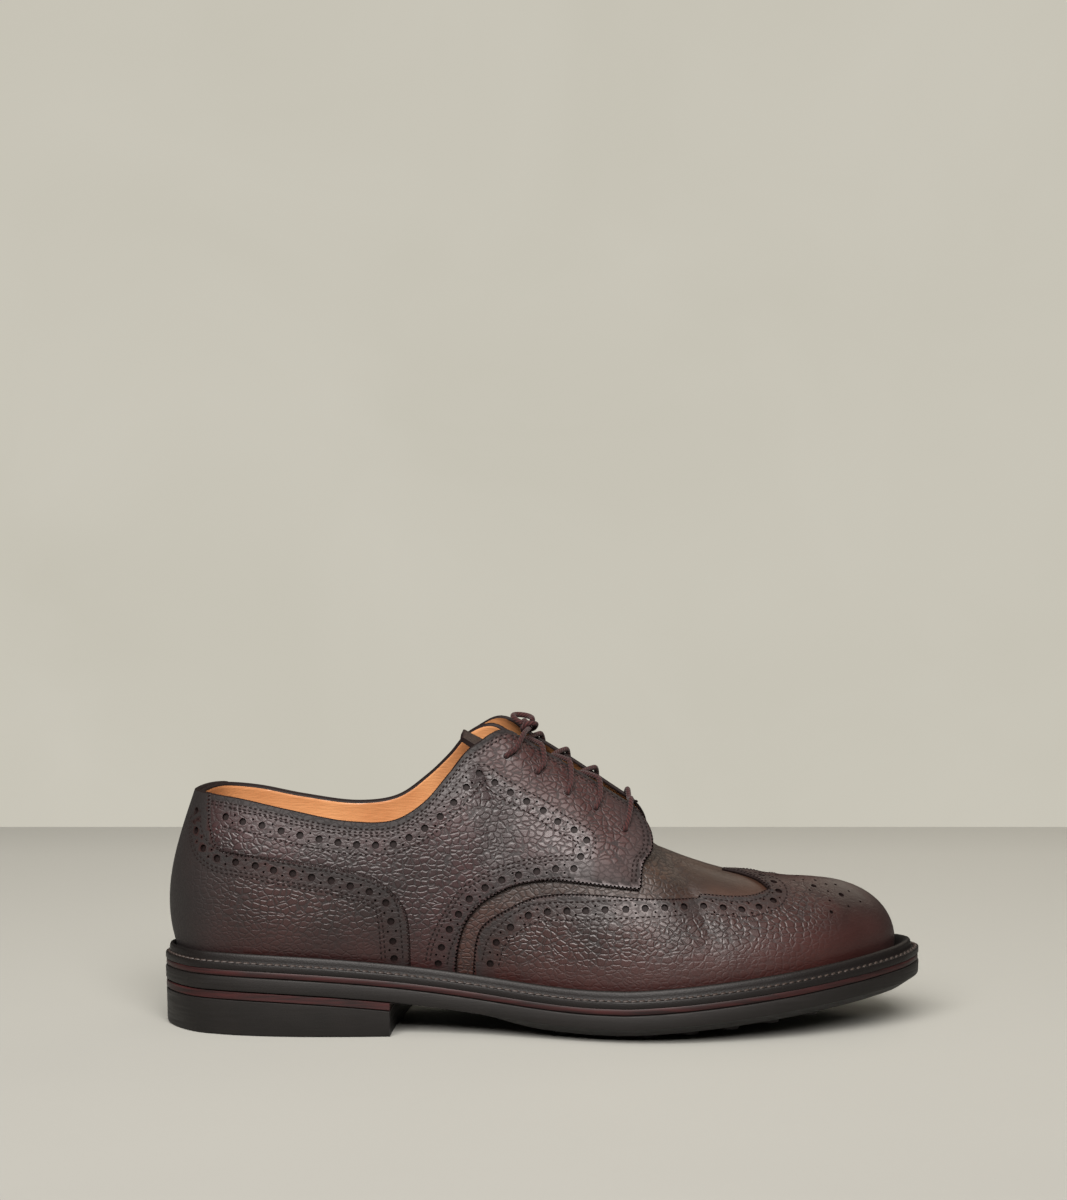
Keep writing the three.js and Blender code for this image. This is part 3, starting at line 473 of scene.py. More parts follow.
FACING_EDGE = [
    ((0.406, -0.181, 0.915), (0.401, 0.192, 0.955)), ((0.444, -0.114, 0.984), (0.441, 0.129, 1.021)),
    ((0.488, -0.086, 0.931), (0.487, 0.105, 0.959)), ((0.536, -0.086, 0.850), (0.533, 0.105, 0.880)),
    ((0.591, -0.086, 0.746), (0.589, 0.105, 0.767)), ((0.629, -0.086, 0.662), (0.627, 0.105, 0.683)),
    ((0.655, -0.086, 0.596), (0.653, 0.105, 0.612)),
]


def last_point(row):
    along, across, rise = row
    return Vector((x_at(along), y_at(across), welt_top(along) + rise * INSTEP))


top_curve = smooth_curve([last_point(row[1]) for row in reversed(TOP_EDGE[1:])]
                         + [last_point(row[0]) for row in TOP_EDGE])
ridge_curve = smooth_curve([last_point(row) for row in RIDGE])
facing_curves = {side: smooth_curve([last_point(row[k]) for row in FACING_EDGE])
                 for k, side in enumerate(("lateral", "medial"))}


def top_point(side, place):
    if place >= THROAT_ROW:
        return ridge_curve((place - THROAT_ROW) / (LAST_ROW - THROAT_ROW))
    return top_curve((THROAT_ROW + (place if side == "lateral" else -place)) / (2 * THROAT_ROW))


def profile(column):
    """The four points that steer the upper's profile from the welt to its top edge."""
    side, place = station(column)
    outward = edge_frame(column)[1]
    foot = edge_point(column, reach_at(column) + FOOT_CLEARANCE)
    foot.z = welt_top(along_at(foot.x)) + GAP
    top = top_point(side, place)
    low_out, low_up, high_out, high_down = (smooth_value([row[k] for row in SECTIONS], place)
                                            for k in (4, 5, 6, 7))
    low = foot + outward * low_out * BALL + Vector((0, 0, low_up * INSTEP))
    away = Vector((foot.x - top.x, foot.y - top.y, 0)).normalized()
    leaning = outward if place < FACING_ROW else away
    high = top + leaning * high_out * BALL - Vector((0, 0, high_down * INSTEP))
    return np.array([foot, low, high, top])


SHARES = np.linspace(0, 1, RUNGS + 1)


def profile_points(column, shares=SHARES):
    s = np.asarray(shares)[:, None]
    a, b, c, d = profile(column)
    return (1 - s) ** 3 * a + 3 * s * (1 - s) ** 2 * b + 3 * s ** 2 * (1 - s) * c + s ** 3 * d


def unit(vectors):
    return vectors / np.maximum(np.linalg.norm(vectors, axis=-1, keepdims=True), 1e-9)


def lifted_points(column):
    """The facing's own line, which leaves the upper towards its free edge."""
    side, place = station(column)
    points = profile_points(column)
    if place <= FACING_ROW or place > THROAT_ROW:
        return points
    lift = facing_curves[side]((place - FACING_ROW) / (THROAT_ROW - FACING_ROW)) - top_point(side, place)
    lift = np.array(lift)
    nudge = 0.1 * COLUMNS_PER_ROW / 2
    around = profile_points(column + nudge) - profile_points(column - nudge)
    above = profile_points(column, np.minimum(SHARES + 0.05, 1))
    up = above - profile_points(column, np.maximum(SHARES - 0.05, 0))
    normal = unit(np.cross(around, up))
    part = np.array([smooth_step(s, 0.5, 1) for s in SHARES])[:, None]
    sunk = np.minimum(normal @ lift, 0)[:, None]
    return points + part * (lift + normal * (0.9 - sunk))


def cell_corners(column, rung):
    return [(column, rung), (column + 1, rung), (column + 1, rung + 1), (column, rung + 1)]


def grid_mix(places, *grids):
    """Each grid's values at grid places (column, rung)."""
    places = np.asarray(places, dtype=float).reshape(-1, 2)
    column = np.floor(places[:, 0]).astype(int)
    rung = np.clip(np.floor(places[:, 1]).astype(int), 0, RUNGS - 1)
    a, b = places[:, 0] - column, places[:, 1] - rung
    weights = [(1 - a) * (1 - b), a * (1 - b), a * b, (1 - a) * b]
    corners = cell_corners(column, rung)
    return [sum((grid[i % COLUMNS, j].T * w).T for (i, j), w in zip(corners, weights)) for grid in grids]


def both_sides(half):
    """A lateral half of grid values, given to both sides."""
    return np.concatenate([half, half[1:-1][::-1]])


class Sheet:
    """A leather surface as a grid of points and outward normals, column by rung."""

    def __init__(self, points, ridge_from):
        self.points = points
        self.ridge_from = ridge_from
        around = np.roll(points, -1, axis=0) - np.roll(points, 1, axis=0)
        up = np.empty_like(points)
        up[:, 1:-1] = points[:, 2:] - points[:, :-2]
        up[:, 0] = points[:, 1] - points[:, 0]
        up[:, -1] = points[:, -1] - points[:, -2]
        normals = np.cross(around, up)
        normals[:, 0, 2] = 0
        normals = unit(normals)
        for column in range(COLUMNS // 2 + 1):
            place = column / COLUMNS_PER_ROW
            if place >= ridge_from:
                share = min((place - THROAT_ROW) / (LAST_ROW - THROAT_ROW), 0.98)
                slope = ridge_curve(share + 0.02) - ridge_curve(share)
                upward = Vector((-slope.z, 0, slope.x)).normalized()
                normals[column, -1] = normals[(COLUMNS - column) % COLUMNS, -1] = upward
        self.normals = normals

    def at(self, places, distance=0.0):
        """Points at grid places (column, rung), pushed out by a distance, and their normals."""
        points, normals = grid_mix(places, self.points, self.normals)
        normals = unit(normals)
        return points + normals * distance, normals

    def find(self, rays, direction, columns):
        """Grid places where rays from far off first meet the columns asked for."""
        triangles, places = [], []
        flat = self.points.reshape(-1, 3)
        for column in columns:
            for rung in range(RUNGS):
                cell = cell_corners(column, rung)
                for pick in ((0, 1, 2), (0, 2, 3)):
                    places.append([cell[k] for k in pick])
                    triangles.append([(cell[k][0] % COLUMNS) * (RUNGS + 1) + cell[k][1] for k in pick])
        tree_of_faces = BVHTree.FromPolygons([tuple(p) for p in flat], triangles)
        found = []
        for ray in rays:
            hit, _, index, _ = tree_of_faces.ray_cast(Vector(ray), Vector(direction))
            if hit is None:
                near, _, index, _ = tree_of_faces.find_nearest(Vector(ray) + 170 * Vector(direction))
                hit = near
            a, b, c = (Vector(flat[k]) for k in triangles[index])
            ab, ac, ap = b - a, c - a, hit - a
            d00, d01, d11 = ab.dot(ab), ab.dot(ac), ac.dot(ac)
            d20, d21 = ap.dot(ab), ap.dot(ac)
            scale = max(d00 * d11 - d01 * d01, 1e-12)
            v, w = (d11 * d20 - d01 * d21) / scale, (d00 * d21 - d01 * d20) / scale
            p, q, r = places[index]
            found.append(((1 - v - w) * p[0] + v * q[0] + w * r[0], (1 - v - w) * p[1] + v * q[1] + w * r[1]))
        return found


base_points = np.array([profile_points(column) for column in range(COLUMNS)])
facing_points = np.array([lifted_points(column) for column in range(COLUMNS)])
for column in range(COLUMNS):
    side, place = station(column)
    if THROAT_ROW < place < THROAT_ROW + 0.5:
        step = (place - THROAT_ROW) * 2
        start_column = THROAT_ROW * COLUMNS_PER_ROW
        rest_column = start_column + COLUMNS_PER_ROW // 2
        if side == "medial":
            start_column, rest_column = COLUMNS - start_column, COLUMNS - rest_column
        facing_points[column] = (1 - step) * facing_points[start_column] + step * base_points[rest_column]

# Creases, charted on the outer side and mirrored on the inner one: x and z of the middle,
# length, slope in degrees, half width and depth (negative for a trough), all in millimetres.
CREASES = [
    (52.0, 62.0, 26, -24, 2.6, -0.35), (58.0, 57.5, 24, -18, 2.4, 0.25), (49.0, 55.0, 22, -12, 2.2, -0.30),
    (30.0, 66.0, 24, -35, 3.2, -0.30), (4.0, 78.0, 34, -38, 4.0, -0.35), (-22.0, 72.0, 36, 62, 4.5, -0.45),
    (-46.0, 66.0, 34, 74, 5.0, -0.40), (-100.0, 70.0, 40, -6, 4.0, 0.25), (20.0, 42.0, 46, 4, 5.0, 0.30),
]
for points in (base_points, facing_points):
    grid_normals = Sheet(points, THROAT_ROW).normals
    half = COLUMNS // 2
    side_x, side_z = points[:half + 1, :, 0], points[:half + 1, :, 2]
    push = np.zeros(side_x.shape)
    for x, z, length, slope, width, depth in CREASES:
        turn_x, turn_z = math.cos(math.radians(slope)), math.sin(math.radians(slope))
        along = (side_x - x) * turn_x + (side_z - z) * turn_z
        across = (side_z - z) * turn_x - (side_x - x) * turn_z
        push += depth * np.exp(-(across / width) ** 2 - (2 * along / length) ** 4)
    points += grid_normals * both_sides(push)[..., None]

base_sheet = Sheet(base_points, THROAT_ROW)
facing_sheet = Sheet(facing_points, THROAT_ROW + 0.5)
base_x, base_z = base_sheet.points[..., 0], base_sheet.points[..., 2]
facing_x, facing_z = facing_sheet.points[..., 0], facing_sheet.points[..., 2]


def edge_depth(sheet):
    """How far each grid point lies below the top edge, along the surface."""
    steps = np.linalg.norm(np.diff(sheet.points, axis=1), axis=2)
    return np.concatenate([np.cumsum(steps[:, ::-1], axis=1)[:, ::-1], np.zeros((COLUMNS, 1))], axis=1)

def inside_distance(outline, points):
    """Distance of points from a closed outline, positive inside it."""
    outline = np.asarray(outline, dtype=float)
    shape = points.shape[:-1]
    flat = points.reshape(-1, 2)
    nearest = np.full(len(flat), 1e9)
    inside = np.zeros(len(flat), dtype=bool)
    for a, b in zip(outline, np.roll(outline, -1, axis=0)):
        along = b - a
        length = max(along @ along, 1e-9)
        part = np.clip(((flat - a) @ along) / length, 0, 1)
        nearest = np.minimum(nearest, np.linalg.norm(flat - a - part[:, None] * along, axis=1))
        crosses = (a[1] > flat[:, 1]) != (b[1] > flat[:, 1])
        rise = along[1] if abs(along[1]) > 1e-12 else 1e-12
        inside ^= crosses & (flat[:, 0] < a[0] + along[0] * (flat[:, 1] - a[1]) / rise)
    return np.where(inside, nearest, -nearest).reshape(shape)


def cut_distance(sheet, field, distance):
    """Distance of every grid point from the line where a field changes sign."""
    outer = sheet.points + sheet.normals * distance
    crossings = []
    for step, axis in (((1, 0), 0), ((0, 1), 1)):
        other = np.roll(field, -1, axis=axis)
        place = np.roll(outer, -1, axis=axis)
        changes = (field > 0) != (other > 0)
        if axis == 1:
            changes[:, -1] = False
        part = (field / np.where(field == other, 1, field - other))[..., None]
        crossings.append((outer + (place - outer) * part)[changes])
    crossings = np.concatenate(crossings)
    tree = KDTree(len(crossings))
    for k, point in enumerate(crossings):
        tree.insert(point, k)
    tree.balance()
    return np.array([tree.find(point)[2] for point in outer.reshape(-1, 3)]).reshape(field.shape)


def rounded_line(rows, parts=6):
    curve = smooth_curve([(a, b, 0) for a, b in rows])
    steps = (len(rows) - 1) * parts
    return [(point.x, point.y) for point in (curve(k / steps) for k in range(steps + 1))]


EDGE_BULGE = 0.35
RIM_ROWS = [(0.25, 0.8), (0.5, 1.0), (0.75, 0.8)]  # share of the wall, share of the bulge


def panel(name, sheet, field, outer, inner, calf, tones):
    """A leather panel: the part of a sheet where the field is positive, with a wall between two
    distances and rounded cut edges. tones are named values on the grid, kept as attributes."""
    corners, numbers, faces = [], {}, []
    ridge_column = sheet.ridge_from * COLUMNS_PER_ROW

    def known(column, rung):
        column %= COLUMNS
        if rung == RUNGS and min(column, COLUMNS - column) >= ridge_column:
            column = min(column, COLUMNS - column)
        return column, rung

    def corner(key, place):
        if key not in numbers:
            numbers[key] = len(corners)
            corners.append(place)
        return numbers[key]

    for column in range(COLUMNS):
        for rung in range(RUNGS):
            cell = cell_corners(column, rung)
            values = [field[c % COLUMNS, r] for c, r in cell]
            if max(values) <= 0:
                continue
            face = []
            for k in range(4):
                (c0, r0), (c1, r1) = cell[k], cell[(k + 1) % 4]
                v0, v1 = values[k], values[(k + 1) % 4]
                if v0 > 0:
                    face.append(corner(known(c0, r0), (c0, r0)))
                if (v0 > 0) != (v1 > 0):
                    part = v0 / (v0 - v1)
                    key = tuple(sorted([known(c0, r0), known(c1, r1)]))
                    face.append(corner(key, (c0 + (c1 - c0) * part, r0 + (r1 - r0) * part)))
            clean = [v for k, v in enumerate(face) if v != face[k - 1]]
            if len(set(clean)) >= 3 and len(set(clean)) == len(clean):
                faces.append(clean)
    top, normals = sheet.at(corners, outer)
    bottom, _ = sheet.at(corners, inner)
    edges = {(a, b) for face in faces for a, b in zip(face, face[1:] + face[:1])}
    free = [(a, b) for a, b in edges if (b, a) not in edges]
    outward = {}
    for a, b in free:
        push = np.cross(top[b] - top[a], normals[a])
        push /= max(np.linalg.norm(push), 1e-9)
        for v in (a, b):
            outward[v] = outward.get(v, 0) + push
    count = len(corners)
    points = [tuple(p) for p in top] + [tuple(p) for p in bottom]
    sources = list(range(count)) * 2
    rim_numbers = {}
    for v, push in outward.items():
        push = push / max(np.linalg.norm(push), 1e-9)
        rim_numbers[v] = [len(points) + k for k in range(3)]
        for depth, bulge in RIM_ROWS:
            push_out = push * bulge * EDGE_BULGE * abs(outer - inner)
            points.append(tuple(top[v] + (bottom[v] - top[v]) * depth + push_out))
            sources.append(v)
    all_faces = [tuple(face) for face in faces] + [tuple(v + count for v in reversed(face)) for face in faces]
    slots = [0] * len(faces) + [1] * len(faces)
    for a, b in free:
        lines = [(b, a), *zip(rim_numbers[b], rim_numbers[a]), (b + count, a + count)]
        for (p, q), (r, s) in zip(lines, lines[1:]):
            all_faces.append((p, q, s, r))
            slots.append(2)
    piece = mesh_piece(name, points, all_faces, [calf, lining_leather, inked_edge_and_hole_shade], slots)
    for label, mixed in zip(tones, grid_mix(corners, *tones.values())):
        layer = piece.data.attributes.new(label, "FLOAT", "POINT")
        layer.data.foreach_set("value", mixed[np.asarray(sources)].astype(np.float32))
    return piece


def calf_leather(name, shade, body, warm, pebble, relief, gloss):
    """Aniline-dyed calf. Where the tone named grain is 1 it has its pebbled grain, pebble mm across,
    with painted shade darkening the creases between; the tone named burnish darkens it (burnish, and painted shade
    at the back of the heel), and glow brings out the red brown."""
    material, tree = new_material(name)
    size = millimetres(tree)
    drift = add_node(tree, "ShaderNodeTexNoise", {"Vector": size, "Scale": 0.22, "Detail": 2.0})
    centred = move(tree, "SUBTRACT", drift.outputs["Color"], (0.5, 0.5, 0.5))
    place = move(tree, "ADD", size, move(tree, "SCALE", centred, 2.6))
    squeezed = move(tree, "MULTIPLY", place, (0.74, 0.9, 1.06))
    inputs = {"Vector": squeezed, "Scale": 1 / pebble, "Randomness": 0.92}
    cells = add_node(tree, "ShaderNodeTexVoronoi", inputs, feature="DISTANCE_TO_EDGE").outputs["Distance"]
    dome = ramp(tree, cells, 0.0, 0.21, kind="SMOOTHSTEP")
    pull = noise(tree, move(tree, "MULTIPLY", place, (0.22, 0.9, 1.9)), 0.55, 3.0)
    grain, burnish_and_shade, glow = (add_node(tree, "ShaderNodeAttribute", attribute_name=label).outputs["Fac"]
                            for label in ("grain", "burnish_and_shade", "glow"))
    high = reckon(tree, "MULTIPLY", reckon(tree, "MULTIPLY", dome, grain), relief)
    low = reckon(tree, "MULTIPLY_ADD", noise(tree, size, 1.7, 4.0), 0.035, high)
    pulled = reckon(tree, "MULTIPLY", pull, reckon(tree, "SUBTRACT", 1.0, grain))
    height = reckon(tree, "MULTIPLY_ADD", pulled, 0.16, low)
    patchy = ramp(tree, noise(tree, size, 0.045, 3.0), 0.35, 0.65, kind="SMOOTHSTEP")
    dyed = blend(tree, glow, blend(tree, patchy, shade, body), warm)
    # Painted shade: the creases between pebbles are darkened towards 070404 on top of their bump, and the same mask
    # makes them rougher.
    painted_crease_shade_ramp = ramp(tree, cells, 0.0, 0.13, 0.75, 0.0, "SMOOTHSTEP")
    painted_crease_shade = reckon(tree, "MULTIPLY", painted_crease_shade_ramp, grain)
    # The tone named burnish darkens towards 0a0505: burnish, and on the heel's back also painted shade.
    colour = blend(tree, painted_crease_shade, blend(tree, burnish_and_shade, dyed, "0a0505"), "070404")
    worn = reckon(tree, "MULTIPLY_ADD", glow, 0.14, gloss)
    dull = reckon(tree, "MULTIPLY_ADD", burnish_and_shade, 0.34, worn)
    rough = reckon(tree, "MULTIPLY_ADD", painted_crease_shade, 0.3, dull)
    surface(tree, colour, rough, height, 1.0, MM, {
        "IOR": 1.5, "Specular IOR Level": 0.38, "Coat Weight": 0.05, "Coat Roughness": 0.3, "Coat IOR": 1.45})
    return material


# Lining: tan veg-tanned calf, close grained, satin, a little darker and redder in patches.
lining_leather, tree = new_material("lining_tan_calf")
size = millimetres(tree)
streak = move(tree, "MULTIPLY", size, (0.25, 1.0, 1.4))
surface(tree, blend(tree, noise(tree, size, 0.05, 4.0), "8a5430", "b38257"), 0.38,
        noise(tree, streak, 0.9, 4.0), 0.6, 0.0003, {"Coat Weight": 0.2, "Coat Roughness": 0.3})

# Cut and folded edges: inked black-brown and waxed, smooth with a soft shine. The same near-black floors the
# punched holes, where it is painted shade.
inked_edge_and_hole_shade = fibrous("edge_ink_and_painted_hole_shade", 2200.0, 2.0, ("0a0606", "180d0c"), 0.6, 0.5, 0.0001,
                     {"Specular IOR Level": 0.15})

vamp_calf = calf_leather("vamp_burnished_calf", "20140e", "302017", "341812", 2.1, 0.16, 0.40)
base_depth = edge_depth(base_sheet)
facing_depth = edge_depth(facing_sheet)
step_up = np.vectorize(smooth_step)
upper = panel("upper_vamp_and_lining", base_sheet, np.ones(base_x.shape), 0.0, -UPPER_WALL, vamp_calf,
              {"grain": 0.1 + 0.8 * step_up(base_x, 66.0, 46.0),
               "burnish_and_shade": step_up(base_x, 80.0, 30.0) * 0.25,
               "glow": step_up(base_z, 62.0, 40.0) * 0.7})
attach(upper, "root")
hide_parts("upper")

# Tongue: one leaf of soft calf under the facings, sewn to the vamp in front, with a pinked top
# that shows above the throat.
TONGUE = 2.0
# along, across, rise, half width, sag of its sides
TONGUE_ROWS = [
    (0.662, 0.019, 0.480, 0.15, 0.034), (0.640, 0.019, 0.512, 0.16, 0.040), (0.609, 0.018, 0.565, 0.18, 0.045),
    (0.566, 0.016, 0.675, 0.19, 0.055), (0.530, 0.014, 0.765, 0.19, 0.055), (0.493, 0.012, 0.838, 0.17, 0.050),
    (0.460, 0.010, 0.888, 0.165, 0.045), (0.434, 0.010, 0.928, 0.155, 0.035), (0.394, 0.010, 0.975, 0.14, 0.020),
]
tongue_line = smooth_curve([last_point(row[:3]) for row in TONGUE_ROWS])
LENGTHS, ACROSS = 64, 44
upper_side = []
for k in range(LENGTHS + 1):
    centre = tongue_line(k / LENGTHS)
    place = k / LENGTHS * (len(TONGUE_ROWS) - 1)
    half, sag = (smooth_value([row[i] for row in TONGUE_ROWS], place) for i in (3, 4))
    line = []
    for j in range(ACROSS + 1):
        share = 2 * j / ACROSS - 1
        tip = 0.7 * (j % 2) * smooth_step(k, LENGTHS - 2, LENGTHS)
        line.append(centre + Vector((tip, share * half * BALL, -share ** 2 * sag * INSTEP - 0.2 * tip)))
    upper_side.append(line)
lowered = []
for k, line in enumerate(upper_side):
    row = []
    for j, point in enumerate(line):
        along = upper_side[min(k + 1, LENGTHS)][j] - upper_side[max(k - 1, 0)][j]
        across = line[min(j + 1, ACROSS)] - line[max(j - 1, 0)]
        normal = across.cross(along).normalized()
        row.append(point - normal * TONGUE * (1 if normal.z > 0 else -1))
    lowered.append(row)
width = ACROSS + 1
points = [p for line in upper_side for p in line] + [p for line in lowered for p in line]
under = len(points) // 2
faces, slots = [], []
for k in range(LENGTHS):
    for j in range(ACROSS):
        a, b, c, d = k * width + j, k * width + j + 1, (k + 1) * width + j + 1, (k + 1) * width + j
        faces += [(a, b, c, d), (under + d, under + c, under + b, under + a)]
        slots += [0, 1]
    a, d = k * width, (k + 1) * width
    faces += [(a, d, under + d, under + a)]
    a, d = k * width + ACROSS, (k + 1) * width + ACROSS
    faces += [(d, a, under + a, under + d)]
    slots += [2, 2]
for j in range(ACROSS):
    a, b = j, j + 1
    faces += [(b, a, under + a, under + b)]
    a, b = LENGTHS * width + j, LENGTHS * width + j + 1
    faces += [(a, b, under + b, under + a)]
    slots += [2, 2]
tongue_calf = calf_leather("tongue_soft_calf", "1c0f0b", "2b1811", "351b13", 1.4, 0.16, 0.5)
tongue = mesh_piece("tongue_leaf", points, faces, [tongue_calf, lining_leather, inked_edge_and_hole_shade], slots)
layer = tongue.data.attributes.new("grain", "FLOAT", "POINT")
layer.data.foreach_set("value", [0.6] * len(tongue.data.vertices))
face_outwards(tongue)
smooth_edges(tongue, 50)
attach(tongue, "root")
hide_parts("tongue")

# Quarters: pebble-grain calf laid over the vamp and stitched down in front, made as one mesh that
# ends just under the counter. Each side ends in an eyelet facing that stands over the tongue. The
# cut edge is pinked, and punched holes follow the topline, the facing and the lower edge.
OVERLAY, INNER_FACE, UNDER_COUNTER = 1.3, 0.02, 1.6
EYELET_RADIUS, EYELET_SIDES = 1.3, 12
COUNTER_SEAM = [
    (0.069, 1.10), (0.069, 0.857), (0.073, 0.796), (0.079, 0.750), (0.092, 0.723), (0.145, 0.704), (0.197, 0.682),
    (0.247, 0.655), (0.281, 0.624), (0.304, 0.572), (0.321, 0.500), (0.326, 0.428), (0.327, 0.10)]
QUARTER_SEAM = [
    (0.386, 0.10), (0.387, 0.295), (0.395, 0.414), (0.404, 0.471), (0.422, 0.531), (0.448, 0.579),
    (0.474, 0.607), (0.513, 0.620), (0.552, 0.610), (0.613, 0.590), (0.623, 0.587)]
FACING_FRONT = [(0.623, 0.587), (0.624, 0.633), (0.628, 0.689), (0.638, 0.724), (0.640, 0.781), (0.634, 0.833),
                (0.623, 0.878), (0.608, 0.960)]


def in_shoe(rows):
    return [(x_at(a), z * INSTEP) for a, z in rows]


def side_field(sheet, outline, distance):
    side = sheet.points[:COLUMNS // 2 + 1] + sheet.normals[:COLUMNS // 2 + 1] * distance
    values = inside_distance(outline, side[..., [0, 2]])
    return both_sides(values)


outer_face = GAP + OVERLAY
quarter_outline = in_shoe(rounded_line(QUARTER_SEAM) + rounded_line(FACING_FRONT)[1:]
                          + [(0.608, 1.4), (-0.2, 1.4), (-0.2, 0.05), (0.386, 0.05)])
quarter_field = side_field(facing_sheet, quarter_outline, outer_face)
counter_outline = in_shoe(rounded_line(COUNTER_SEAM) + [(-0.2, 0.05), (-0.2, 1.10)])
quarter_edge = quarter_field
counter_inside = side_field(facing_sheet, counter_outline, outer_face)
quarter_field = np.minimum(quarter_field, UNDER_COUNTER - counter_inside)


SEAM_BAND, TOPLINE_BAND = 8.3, 11.0


def band_grain(edge_mm, band=SEAM_BAND):
    """Grain that is pressed flat in a punched band and full beyond it."""
    return step_up(edge_mm, band - 1.0, band + 1.5)


def edge_ink(edge_mm):
    """Burnish that is nearly black at a cut edge and fades over a few millimetres."""
    return 0.85 * np.exp(-edge_mm / 2.6) + 0.3 * (1 - band_grain(edge_mm))


facing_zone = step_up(facing_x * 0.62 + facing_z, 85.5, 91.0) * step_up(facing_x, -34.0, -18.0)
facing_zone = np.maximum(facing_zone, step_up(facing_x, 17.5, 21.0))
topline_grain = band_grain(facing_depth, TOPLINE_BAND)
quarter_grain = np.minimum(band_grain(quarter_edge), topline_grain + facing_zone)
quarter_grain = np.clip(0.6 + 0.4 * quarter_grain, 0, 1) * (1 - 0.55 * step_up(facing_z, 50.0, 28.0))
quarter_burnish = np.clip(edge_ink(np.maximum(quarter_edge, 0)) + step_up(facing_depth, 3.2, 1.6)
                          + 0.25 * (1 - topline_grain) * (1 - facing_zone), 0, 0.92)
quarter_glow = np.clip(facing_zone + 0.75 * step_up(facing_z, 48.0, 26.0), 0, 1)
quarter_calf = calf_leather("quarter_pebble_calf", "190c0d", "271415", "270c0a", 2.2, 0.17, 0.41)
quarters = panel("quarters_with_facings", facing_sheet, quarter_field, outer_face, INNER_FACE, quarter_calf,
                 {"grain": quarter_grain, "burnish_and_shade": quarter_burnish, "glow": quarter_glow})


def chart_from_side(sheet, rows):
    """Side-view points (x, z) in millimetres as grid places on the lateral side."""
    return sheet.find([(x, -200.0, z) for x, z in rows], (0, 1, 0), range(0, COLUMNS // 2))


def other_side(places):
    return [(COLUMNS - c, r) for c, r in places]


HOLE_DEPTHS = (-1.2, 0.9)


def punch_holes(piece, cutters):
    """Cuts blind round holes into a panel. Each cutter is (point, normal, radius, sides)."""
    points, faces = [], []
    for point, normal, radius, sides in cutters:
        normal = Vector(normal)
        one = normal.orthogonal().normalized()
        two = normal.cross(one)
        start = len(points)
        for depth in HOLE_DEPTHS:
            for k in range(sides):
                angle = 2 * math.pi * k / sides
                points.append(Vector(point) + normal * depth + one * radius * math.cos(angle)
                              + two * radius * math.sin(angle))
        faces += tube_faces(start, len(HOLE_DEPTHS), sides)
    # The cutters' faces take slot 2, the inked edge material: inked hole walls, and near-black hole floors that are
    # painted shade.
    cut_away(piece, mesh_piece(piece.name + "_punches", points, faces, list(piece.data.materials),
                               [2] * len(faces)))


# Radius and sides of a large hole and of a pinhole, and how far a pinhole lies from the row.
BIG_HOLE, PIN_HOLE, PIN_SPREAD = 1.45, 0.48, 1.55
BIG_SIDES, PIN_SIDES = 16, 7


def brogue_row(sheet, places, distance):
    """Punches for a row: a large hole at each place and a pair of pinholes between neighbours."""
    points, normals = sheet.at(places, distance)
    cutters = [(p, n, BIG_HOLE, BIG_SIDES) for p, n in zip(points, normals)]
    between = [((a[0] + b[0]) / 2, (a[1] + b[1]) / 2) for a, b in zip(places, places[1:])]
    middles, middle_normals = sheet.at(between, distance)
    for p, n, a, b in zip(middles, middle_normals, points, points[1:]):
        across = np.cross(n, b - a)
        across /= max(np.linalg.norm(across), 1e-9)
        for side in (-1, 1):
            cutters.append((p + across * side * PIN_SPREAD, n, PIN_HOLE, PIN_SIDES))
    return cutters


def run_along(points):
    return np.concatenate([[0], np.cumsum(np.linalg.norm(np.diff(points, axis=0), axis=1))])


def seam_teeth(sheet, field, distance, pitch=1.55, radius=0.5):
    """Punches along a panel's cut line, which leave a pinked edge."""
    crossings = {}
    links = {}
    for column in range(COLUMNS):
        for rung in range(RUNGS):
            cell = cell_corners(column, rung)
            values = [field[c % COLUMNS, r] for c, r in cell]
            keys = []
            for k in range(4):
                (c0, r0), (c1, r1) = cell[k], cell[(k + 1) % 4]
                v0, v1 = values[k], values[(k + 1) % 4]
                if (v0 > 0) != (v1 > 0):
                    part = v0 / (v0 - v1)
                    key = tuple(sorted([(c0 % COLUMNS, r0), (c1 % COLUMNS, r1)]))
                    crossings[key] = (c0 + (c1 - c0) * part, r0 + (r1 - r0) * part)
                    keys.append(key)
            if len(keys) == 2:
                links.setdefault(keys[0], []).append(keys[1])
                links.setdefault(keys[1], []).append(keys[0])
    cutters = []
    waiting = set(links)
    while waiting:
        ends = [key for key in waiting if len(links[key]) == 1]
        key = min(ends) if ends else min(waiting)
        line = []
        while key is not None:
            waiting.discard(key)
            line.append(crossings[key])
            key = next((k for k in links[key] if k in waiting), None)
        if len(line) < 4:
            continue
        points, normals = sheet.at(line, distance)
        run = run_along(points)
        for mark in np.arange(pitch / 2, run[-1], pitch):
            k = min(int(np.searchsorted(run, mark)), len(run) - 1)
            part = (mark - run[k - 1]) / max(run[k] - run[k - 1], 1e-9)
            cutters.append((points[k - 1] * (1 - part) + points[k] * part, normals[k], radius, PIN_SIDES))
    return cutters


